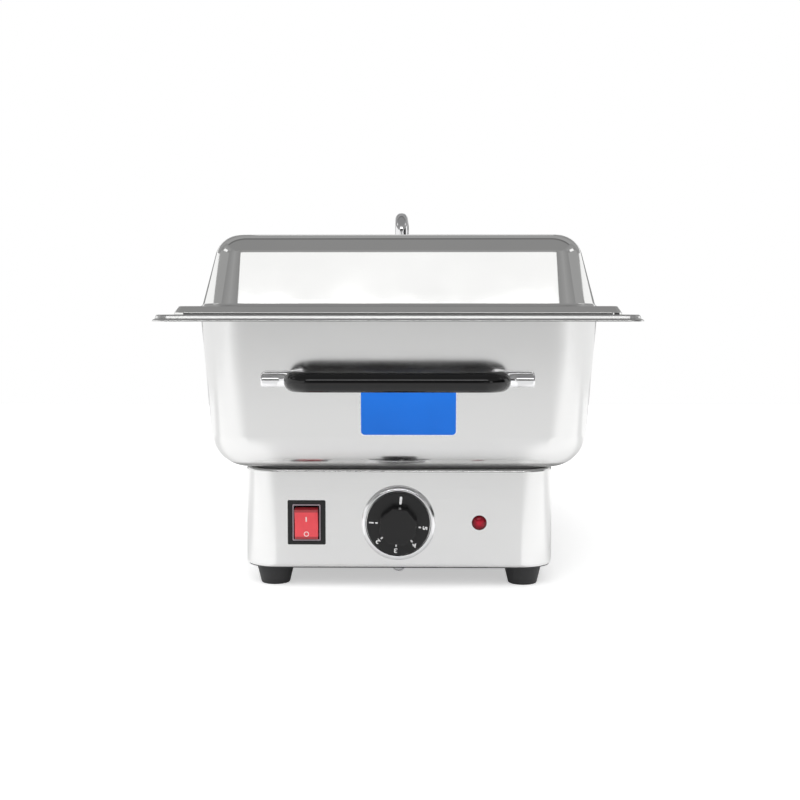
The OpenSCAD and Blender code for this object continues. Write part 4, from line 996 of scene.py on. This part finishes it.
class DISH_OT_dial(bpy.types.Operator):
    """Turn the chrome ring and mould the numbered dial"""
    bl_idname = "dish.dial"
    bl_label = "Dial"

    def execute(self, context):
        dish = context.scene.chafing_dish
        box, wall = Extent("dial_bezel"), Extent("base_shell").low.y
        seat = on_wall(box.middle, wall)
        self.bezel(dish, box.half.x, wall - box.low.y, seat)
        knob, back = Extent("control_knob"), 4 * MM
        face = back + dish.control.dial_skirt
        self.knob(dish, knob.half.x, back, face, wall - knob.low.y, seat)
        self.marks(dish, face + 0.03 * MM, seat)
        return {"FINISHED"}

    def bezel(self, dish, outer, tall, seat):
        p, seal, narrow, slope = dish.control, *mm(0.5, 1.1, 0.4)
        inner, brim = outer - p.bezel_width, outer - narrow
        shape = bent([(inner, seal), (brim, seal), (brim, tall), (inner, tall - slope),
                      (inner, seal)], [0.1 * MM, 0.62 * p.bezel_width, 0.5 * MM], 12)
        ring = lathe("dial_ring", shape[:-1], 128, closed=True)
        shiny = chrome("Plated ring", dish.finish.chrome, rough=0.14)
        fit(smooth(moved(ring, seat)), "base", "bezel_chrome", shiny, "dial_bezel")
        # Painted shadow: this black rubber ring shows round the chrome, whose brim stops short of
        # the outer edge, as a dark line at the ring's foot.
        painted_shadow_ring = tube("dial_seal", inner, outer, 0, seal, 128)
        gum = rubber("Seal rubber", dish.finish.rubber)
        fit(smooth(moved(painted_shadow_ring, seat)), "base", "bezel_chrome", gum)

    def knob(self, dish, radius, back, face, front, seat):
        p, bore, drop_off, inset, sunk, flare = dish.control, *mm(2, 0.4, 0.5, 1, 0.8)
        shape = bent([(bore, back), (radius, back), (radius, face - drop_off),
                      (radius - inset, face), (bore, face)], mm(0.4, 0.2, 0.2), 5)
        skirt = lathe("skirt", shape, 128, first=True, last=True)
        hub = pin("hub", 7 * MM, 1.8 * MM, back + sunk)
        start = math.pi / 8 - p.dial_turn
        grip = soften(solid("grip", [flats(8, p.dial_grip + flare, face - sunk, start),
                                     flats(8, p.dial_grip, front, start)]), 0.7 * MM)
        black = plastic("Dial plastic", dish.finish.dial, rough=0.20, grain=0.02 * MM, shine=0.34)
        dial = join("dial", [smooth(skirt), smooth(hub), smooth(grip)])
        fit(moved(dial, seat), "knob", "knob_black", black, "control_knob")

    def marks(self, dish, level, seat):
        p, white, stretch = dish.control, ink("Dial print", dish.finish.print), 1.3
        turns = [-p.dial_turn - p.first_numeral - i * p.numeral_step for i in range(5)]
        marks = [moved(numeral(digit, p.numeral), turned(turn, "Z")
                       @ lifted(0, p.numeral_radius, level) @ Matrix.Diagonal((stretch, 1, 1, 1)))
                 for digit, turn in zip("54321", turns)]
        reach = p.tick_radius
        rows = [((-math.sin(t) * reach, math.cos(t) * reach, level), t) for t in turns]
        marks.append(copies("ticks", bar_mark(1.25 * MM, 2.1 * MM), rows, white))
        marks.append(moved(bar_mark(1.9 * MM, 6.2 * MM),
                           turned(-p.dial_turn, "Z") @ lifted(0, p.mark_radius, level)))
        fit(moved(join("dial_marks", marks), seat), "knob", "knob_black", white)


def numeral(digit, tall):
    """A printed numeral, centred, as a thin solid."""
    words = bpy.data.curves.new("numeral", "FONT")
    capital, weight = 0.72, 0.13 * MM
    words.body, words.size, words.extrude, words.offset = digit, tall / capital, PRINT, weight
    words.align_x = words.align_y = "CENTER"
    text = new_piece("numeral_" + digit, words)
    piece = new_piece(text.name + "_mesh", made_mesh(text))
    drop(text)
    low, high = Vector(piece.bound_box[0]), Vector(piece.bound_box[6])
    return moved(piece, Matrix.Translation(-(low + high) / 2))


def bar_mark(wide, tall):
    """A printed stroke with round ends."""
    return solid("stroke", [box_loop(wide / 2, tall / 2, wide * 0.45, z, 5)
                            for z in (-PRINT, PRINT)])


class DISH_OT_switch(bpy.types.Operator):
    """Mould the rocker switch"""
    bl_idname = "dish.switch"
    bl_label = "Rocker switch"

    def execute(self, context):
        dish = context.scene.chafing_dish
        box, wall = Extent("switch_housing"), Extent("base_shell").low.y
        seat = on_wall(box.middle, wall)
        self.housing(dish, box, wall - box.high.y, seat)
        self.rocker(dish, box, seat)
        return {"FINISHED"}

    def housing(self, dish, box, rear, seat):
        front, bevel = dish.control.frame_thick, dish.control.frame_bevel
        outer, body = (box.half.x, box.half.z), (box.half.x - 3.4 * MM, box.half.z - 3.4 * MM)
        step, well = mm(11.05, 14.4), mm(9.65, 13.2)
        shelf, lip, deep, edge = mm(0.8, 1.9, 14, 0.3)
        small, inner, middle, large = mm(0.6, 0.8, 0.9, 1.2)
        frame_loops = stack([
            (body, 0, small, rear), (body, 0, small, 0), (outer, 0, large, 0),
            (outer, 0, large, 0.5 * MM), (outer, 0.3 * bevel, 1.1 * MM, 1.3 * MM),
            (outer, bevel, middle, front), (step, -edge, middle, front),
            (step, 0, inner, front - edge), (step, 0, inner, shelf),
            (well, 0, small, shelf), (well, 0, small, front - deep)])
        black = plastic("Switch plastic", dish.finish.dial, rough=0.24, grain=0.02 * MM, shine=0.34)
        fit(moved(smooth(solid("switch_frame", frame_loops), 25), seat),
            "base", "switch_black", black, "switch_housing")

        mouth, clear, thin = (step[0] - 1.0 * MM, step[1] - 1.1 * MM), 0.1 * MM, 0.7 * MM
        collar = loft("switch_collar", stack([
            (step, clear, inner, shelf), (step, clear, inner, lip),
            (mouth, 0, thin, lip), (mouth, 0, thin, shelf)]), closed=True)
        smoky = plastic("Collar plastic", (0.27, 0.22, 0.25), rough=0.22, grain=0.02 * MM, coat=0.2)
        fit(moved(smooth(collar), seat), "base", "switch_black", smoky)

    def rocker(self, dish, box, seat):
        p, steps, heel = dish.control, 6, 4 * MM
        half, wide, hollow = p.rocker_tall / 2, p.rocker_width / 2, p.rocker_tip - p.rocker_rise

        def face(y):
            return p.rocker_rise + hollow * (abs(y) / half) ** 1.25

        crest = [half * k / steps for k in range(-steps, steps + 1)]
        outline = [(half, 0), (half / 2, -heel), (-half / 2, -heel), (-half, 0)]
        outline += [(y, face(y)) for y in crest]
        key = solid("rocker_key", [[(x, y, z) for y, z in outline] for x in (wide, -wide)])
        pose = seat @ lifted(0, 0, -p.pivot_depth) @ turned(p.rocker_tilt, "X")
        red = rocker_plastic("Rocker plastic", dish.finish.rocker, tuple(box.middle), p.rocker_tall)
        fit(moved(smooth(soften(key, 0.7 * MM), 40), pose), "rocker", "rocker_red", red,
            "switch_rocker")

        slope, up, down, proud = math.atan2(hollow, half), *mm(4.0, 7.7, 0.05)
        on = moved(bar_mark(1.0 * MM, 4.2 * MM),
                   lifted(0, up, face(up) + proud) @ turned(slope, "X"))
        off = moved(tube("off", 1.4 * MM, 2.0 * MM, -PRINT, 1.5 * PRINT, 40),
                    lifted(0, -down, face(down) + proud) @ turned(-slope, "X"))
        marks = moved(join("rocker_marks", [on, off]), pose)
        fit(marks, "rocker", "rocker_red", ink("Rocker print", (1.0, 0.80, 0.78)))


class DISH_OT_lamp(bpy.types.Operator):
    """Mould the pilot lamp's lens"""
    bl_idname = "dish.lamp"
    bl_label = "Pilot lamp"

    def execute(self, context):
        dish = context.scene.chafing_dish
        box = Extent("pilot_lens")
        radius, rise, back = box.half.x, 2 * box.half.y, box.high.y
        flange, chamfer, inset = mm(1.2, 0.2, 0.5)
        section = [(radius, 0), (radius, flange - chamfer), (radius - chamfer, flange)]
        section += [((radius - inset) * math.cos(a), flange + (rise - flange) * math.sin(a))
                    for a in (math.radians(degrees) for degrees in range(0, 86, 5))]
        glass = lathe("lamp_lens", section, 64, first=True, last=True)
        red = lens("Lamp lens", dish.finish.lamp, (box.middle.x, back, box.middle.z), radius)
        glass = moved(smooth(glass, 40), on_wall(box.middle, back))
        fit(glass, "base", "lamp_red", red, "pilot_lens")
        return {"FINISHED"}


class DISH_OT_gland(bpy.types.Operator):
    """Mould the cable gland and its ribbed cap"""
    bl_idname = "dish.gland"
    bl_label = "Cable gland"

    def execute(self, context):
        dish = context.scene.chafing_dish
        p, box, cap = dish.base, Extent("cable_gland"), Extent("gland_cap")
        wall = Extent("base_shell").high.y
        body = solid("hexagon", [flats(6, p.gland_hex, z) for z in (0, box.high.y - wall)])
        thread = tube("thread", 6 * MM, 8 * MM, box.low.y - wall, 0.2 * MM, 48)
        body = join("gland_body", [smooth(soften(body, 0.6 * MM)), smooth(thread)])
        moved(body, on_back(box.middle, wall))
        fit(body, "base", "gland_black", nylon(dish), "cable_gland")

        bore, sink, half_w, half_l, corner, gap = mm(4.5, 0.5, 0.55, 0.5, 0.2, 0.6)
        side, long = cap.half.x - sink, 2 * cap.half.y
        shape = bent([(bore, 0), (side, 0), (side, long / 2), (p.cap_tip / 2, long), (bore, long)],
                     mm(0.4, 3, 1.2), 6)
        dome = lathe("dome", shape, 64, closed=True)
        rib = solid("rib", [box_loop(half_w, half_l, corner, z, 2) for z in (gap, long / 2 - gap)])
        turns = [2 * math.pi * i / p.ribs for i in range(p.ribs)]
        rows = [((side * math.cos(t), side * math.sin(t), 0), t) for t in turns]
        ribs = copies("ribs", soften(rib, 0.15 * MM, 2), rows, nylon(dish))
        dome = moved(join("gland_dome", [smooth(dome), ribs]), on_back(box.middle, cap.low.y))
        fit(dome, "base", "gland_black", nylon(dish), "gland_cap")
        return {"FINISHED"}


def nylon(dish):
    return plastic("Gland nylon", dish.finish.dial, rough=0.38)


class DISH_OT_hardware(bpy.types.Operator):
    """Finish the pieces whose solids show as they are"""
    bl_idname = "dish.hardware"
    bl_label = "Hardware and inside"

    def execute(self, context):
        dish = context.scene.chafing_dish
        shield = tone(dish.finish.base, 0.8)
        rows = {
            plastic("Cover enamel", (0.020, 0.020, 0.021), rough=0.42): ["bottom_cover"],
            steel("Shield steel", shield, rough=0.34, lines=0.10, waves=0.10 * MM): ["heat_shield"],
            rubber("Seal rubber", dish.finish.rubber): ["lid_washers"],
            rubber("Gasket silicone", (0.13, 0.13, 0.132)): ["pan_gasket"],
            zinc(): ["foot_screws", "foot_nuts", "pan_studs", "flange_nuts", "clamp_nuts",
                     "shield_nuts", "spreader_screws", "thermostat_screws", "thermostat_shaft",
                     "pilot_clip", "bulb_clip", "element_clamps", "lid_nuts"],
            plated("Rolled aluminium", (0.80, 0.80, 0.80), rough=0.40): ["heat_spreader"],
            plated("Heater sheath", (0.22, 0.20, 0.19), rough=0.50): ["heating_element"],
            fibre("Mineral wool", (0.78, 0.76, 0.70)): ["insulation_pad"],
            plastic("Ceramic", (0.74, 0.71, 0.64), rough=0.55, grain=0.05 * MM): [
                "thermal_cutout", "terminal_block"],
            plated("Brass", (0.72, 0.52, 0.22), rough=0.28): [
                "sensor_bulb", "thermostat_tabs", "switch_terminals", "terminal_screws",
                "earth_stud", "earth_nut"],
            plastic("Dark moulding", (0.035, 0.028, 0.024), rough=0.40): [
                "thermostat_body", "pilot_body"],
            nylon(dish): ["gland_locknut"],
        }
        for name, rgb, node in (("Brown lead", (0.16, 0.06, 0.03), "live_leads"),
                                ("Blue lead", (0.03, 0.12, 0.42), "neutral_leads"),
                                ("Green lead", (0.10, 0.36, 0.06), "earth_lead")):
            rows[plastic(name, rgb, rough=0.45, grain=0.03 * MM)] = [node]
        for material, nodes in rows.items():
            for node in nodes:
                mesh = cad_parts[node].data
                mesh.materials.clear()
                mesh.materials.append(material)
        return {"FINISHED"}


def stage_sheet(name, corners):
    """Flat sheets of the stage, each from four corners."""
    mesh = bpy.data.meshes.new(name)
    mesh.from_pydata(corners, [], [tuple(range(i, i + 4)) for i in range(0, len(corners), 4)])
    sheet = new_piece(name, mesh)
    return sheet


class DISH_OT_stage(bpy.types.Operator):
    """Set up the camera, the floor and the studio light"""
    bl_idname = "dish.stage"
    bl_label = "Stage"

    def execute(self, context):
        scene, s = context.scene, context.scene.chafing_dish.stage
        scene.view_settings.view_transform = "Standard"
        self.camera(scene, s)
        self.room(scene, s)
        self.floor(s)
        self.tent(s)
        return {"FINISHED"}

    def camera(self, scene, s):
        sight = bpy.data.cameras.new("Camera")
        sight.lens, sight.sensor_width, sight.clip_start = s.focal, 36.0, 0.01
        scene.camera = new_piece("Camera", sight)
        scene.camera.matrix_world = (Matrix.Translation(s.camera) @ turned(s.yaw, "Z")
                                     @ turned(math.pi / 2 - s.pitch, "X"))

    def seen(self, graph, *kinds):
        """1 for rays of these kinds, 0 for the light that falls on the dish."""
        total = 0.0
        for kind in kinds:
            total = graph.node("ShaderNodeLightPath", output=kind) + total
        return total.least(1.0)

    def room(self, scene, s):
        """White all round, two soft suns, and less light on the dish than the camera sees."""
        scene.world = scene.world or bpy.data.worlds.new("World")
        scene.world.use_nodes = True
        g = Graph(scene.world.node_tree)
        g.tree.nodes.clear()
        shown = self.seen(g, "Is Camera Ray", "Is Glossy Ray", "Is Transmission Ray")
        light = g.node("ShaderNodeBackground", None, {
            "Color": (1, 1, 1, 1), "Strength": shown * (1.0 - s.daylight) + s.daylight})
        g.node("ShaderNodeOutputWorld", None, {"Surface": light})
        for name, energy, spread, tilt, roll in (("Soft key", 1.45, 70, 28, -12),
                                                 ("Front fill", 0.9, 60, 80, 0)):
            lamp = bpy.data.lights.new(name, "SUN")
            lamp.energy, lamp.angle = energy, math.radians(spread)
            lit = new_piece(name, lamp)
            lit.rotation_euler = (math.radians(tilt), math.radians(roll), 0)
            lit.visible_glossy = False

    def floor(self, s):
        """Pale paper, which steel mirrors with painted light and shade: a little darker far off and
        brighter beside the dish.
        """
        wide, near, back = 1.1, -2.6, 1.8
        sheet = stage_sheet("Floor", [(-wide, near, 0), (wide, near, 0), (wide, back, 0),
                                      (-wide, back, 0)])
        f = Finish("Floor paper")
        across, along = (abs(f.part(axis, f.place())) for axis in "XY")
        ahead, far = (along - 0.22).most(0.0), f.rise(along, 0.75, 1.5)

        # Painted light: strips that glow only for the steel start beside the base, and spread and
        # blur with the distance
        edge = ahead * (ahead * 0.24 + 0.03) + 0.099
        blur = ahead * ahead * ahead * 2.4 + 0.015
        beside = f.rise((across - edge) / blur, 0.0, 1.0) * f.rise(along, 0.08, 0.2)
        painted_glow_strips = beside * (1.0 - far) * 0.28
        painted_near_glow = f.rise(along, 0.45, 0.25) * 0.05
        mirrored = self.seen(f, "Is Glossy Ray")
        # Painted light: glow in the strips and near the dish, for the steel only; the camera's lift
        # keeps the paper white.
        lift = self.seen(f, "Is Camera Ray") * 0.5 + mirrored * (painted_glow_strips + painted_near_glow + 0.07)
        # Painted shade: far off, the steel sees darker paper.
        shade = f.mix(mirrored * far, (s.floor,) * 3, (s.floor * 0.72,) * 3)
        paper = f.node("ShaderNodeBsdfDiffuse", None, {"Color": shade})
        glow = f.node("ShaderNodeEmission", None, {"Strength": lift})
        both = f.node("ShaderNodeAddShader", None, {0: paper, 1: glow})
        sheet.data.materials.append(f.output(both))

    def tent(self, s):
        """Grey walls with lit windows, seen only in shiny surfaces."""
        half, wide, narrow = 2.5, 1.1, 0.5
        foot, strip, sill, head, top = 1.03, 1.25, 1.52, 1.88, 2.7
        grey, pale, dim = s.tent, 1.3 * s.tent, 0.6 * s.tent
        shadow, dark, back_grey, gleam = 0.12, 0.06, 0.28, 0.4
        corners, glows = [], []

        def sheet_of(points, glow):
            corners.extend(points)
            glows.extend(glow * (4 // len(glow)))

        def panel(turn, left, right, low, up, *glow):
            spin = Matrix.Rotation(turn, 3, "Z")
            sheet_of([tuple(spin @ Vector((u, -half, z))) for u, z in (
                (left, low), (right, low), (right, up), (left, up))], glow)

        def roof(near, far, *glow):
            sheet_of([(-half, near, top), (half, near, top), (half, far, top),
                      (-half, far, top)], glow)

        front, right_side, back, left_side = 0, math.pi / 2, math.pi, -math.pi / 2
        for turn in (front, right_side, back, left_side):
            panel(turn, -half, -wide, foot, top, pale, grey, grey, pale)
            panel(turn, wide, half, foot, top, grey, pale, pale, grey)
            panel(turn, -wide, wide, head, top, pale, pale, grey, grey)
            if turn != front:
                panel(turn, -wide, wide, foot, sill, pale)
                panel(turn, -narrow, narrow, sill, head, s.window)
                panel(turn, -wide, -narrow, sill, head, grey)
                panel(turn, narrow, wide, sill, head, grey)
        panel(front, -wide, wide, sill, head, s.window)
        panel(front, -wide, wide, strip, sill, s.softbox)
        for low, up in ((0.06, 0.38), (0.49, strip)):
            panel(front, -1.2 * wide, 1.2 * wide, low, up, shadow)
        panel(front, -0.35, 0.35, 0.38, 0.49, gleam)
        panel(front, 2.0, half, 0.15, foot, dark)
        panel(right_side, -half, 0.2, 0.15, foot, dark)
        panel(back, -2.2, 2.2, 0.10, 0.75, back_grey)
        roof(-half, 0.35, grey)
        roof(0.35, 0.5, grey, grey, dim, dim)
        roof(0.5, 0.95, dim)
        roof(0.95, half, pale)
        sheet = stage_sheet("Tent", corners)
        sheet.data.attributes.new("glow", "FLOAT", "POINT").data.foreach_set("value", glows)
        f = Finish("Tent cloth")
        glow = f.node("ShaderNodeAttribute", {"attribute_name": "glow"}, output="Fac")
        cloth = f.node("ShaderNodeEmission", None, {"Strength": glow})
        sheet.data.materials.append(f.output(cloth))
        sheet.visible_camera = sheet.visible_diffuse = sheet.visible_shadow = False


PIECES = (DISH_OT_stage, DISH_OT_water_pan, DISH_OT_food_pan, DISH_OT_lid, DISH_OT_lid_handle,
          DISH_OT_base, DISH_OT_feet, DISH_OT_cover_screws, DISH_OT_handles, DISH_OT_name_plate,
          DISH_OT_dial, DISH_OT_switch, DISH_OT_lamp, DISH_OT_gland, DISH_OT_hardware)


class DISH_PT_pieces(bpy.types.Panel):
    """Lists the pieces of the dish"""
    bl_label = "Chafing dish"
    bl_idname = "DISH_PT_pieces"
    bl_space_type = "VIEW_3D"
    bl_region_type = "UI"
    bl_category = "Dish"

    def draw(self, context):
        for piece in PIECES:
            self.layout.operator(piece.bl_idname)
        for group in ("pan", "lid", "base", "handle", "control", "finish", "stage"):
            settings = getattr(context.scene.chafing_dish, group)
            part = self.layout.box()
            for key in settings.bl_rna.properties.keys():
                if key not in ("rna_type", "name"):
                    part.prop(settings, key)


CLASSES = (PanSizes, LidSizes, BaseSizes, HandleSizes, ControlSizes, Finishes, StageSettings,
           ChafingDish, *PIECES, DISH_PT_pieces)


def register():
    for item in CLASSES:
        bpy.utils.register_class(item)
    bpy.types.Scene.chafing_dish = PointerProperty(type=ChafingDish, name="Chafing dish",
                                                   description="Settings")


def unregister():
    del bpy.types.Scene.chafing_dish
    for item in reversed(CLASSES):
        bpy.utils.unregister_class(item)


def main():
    register()
    for piece in PIECES:
        group, name = piece.bl_idname.split(".")
        getattr(getattr(bpy.ops, group), name)()


if __name__ == "__main__":
    main()
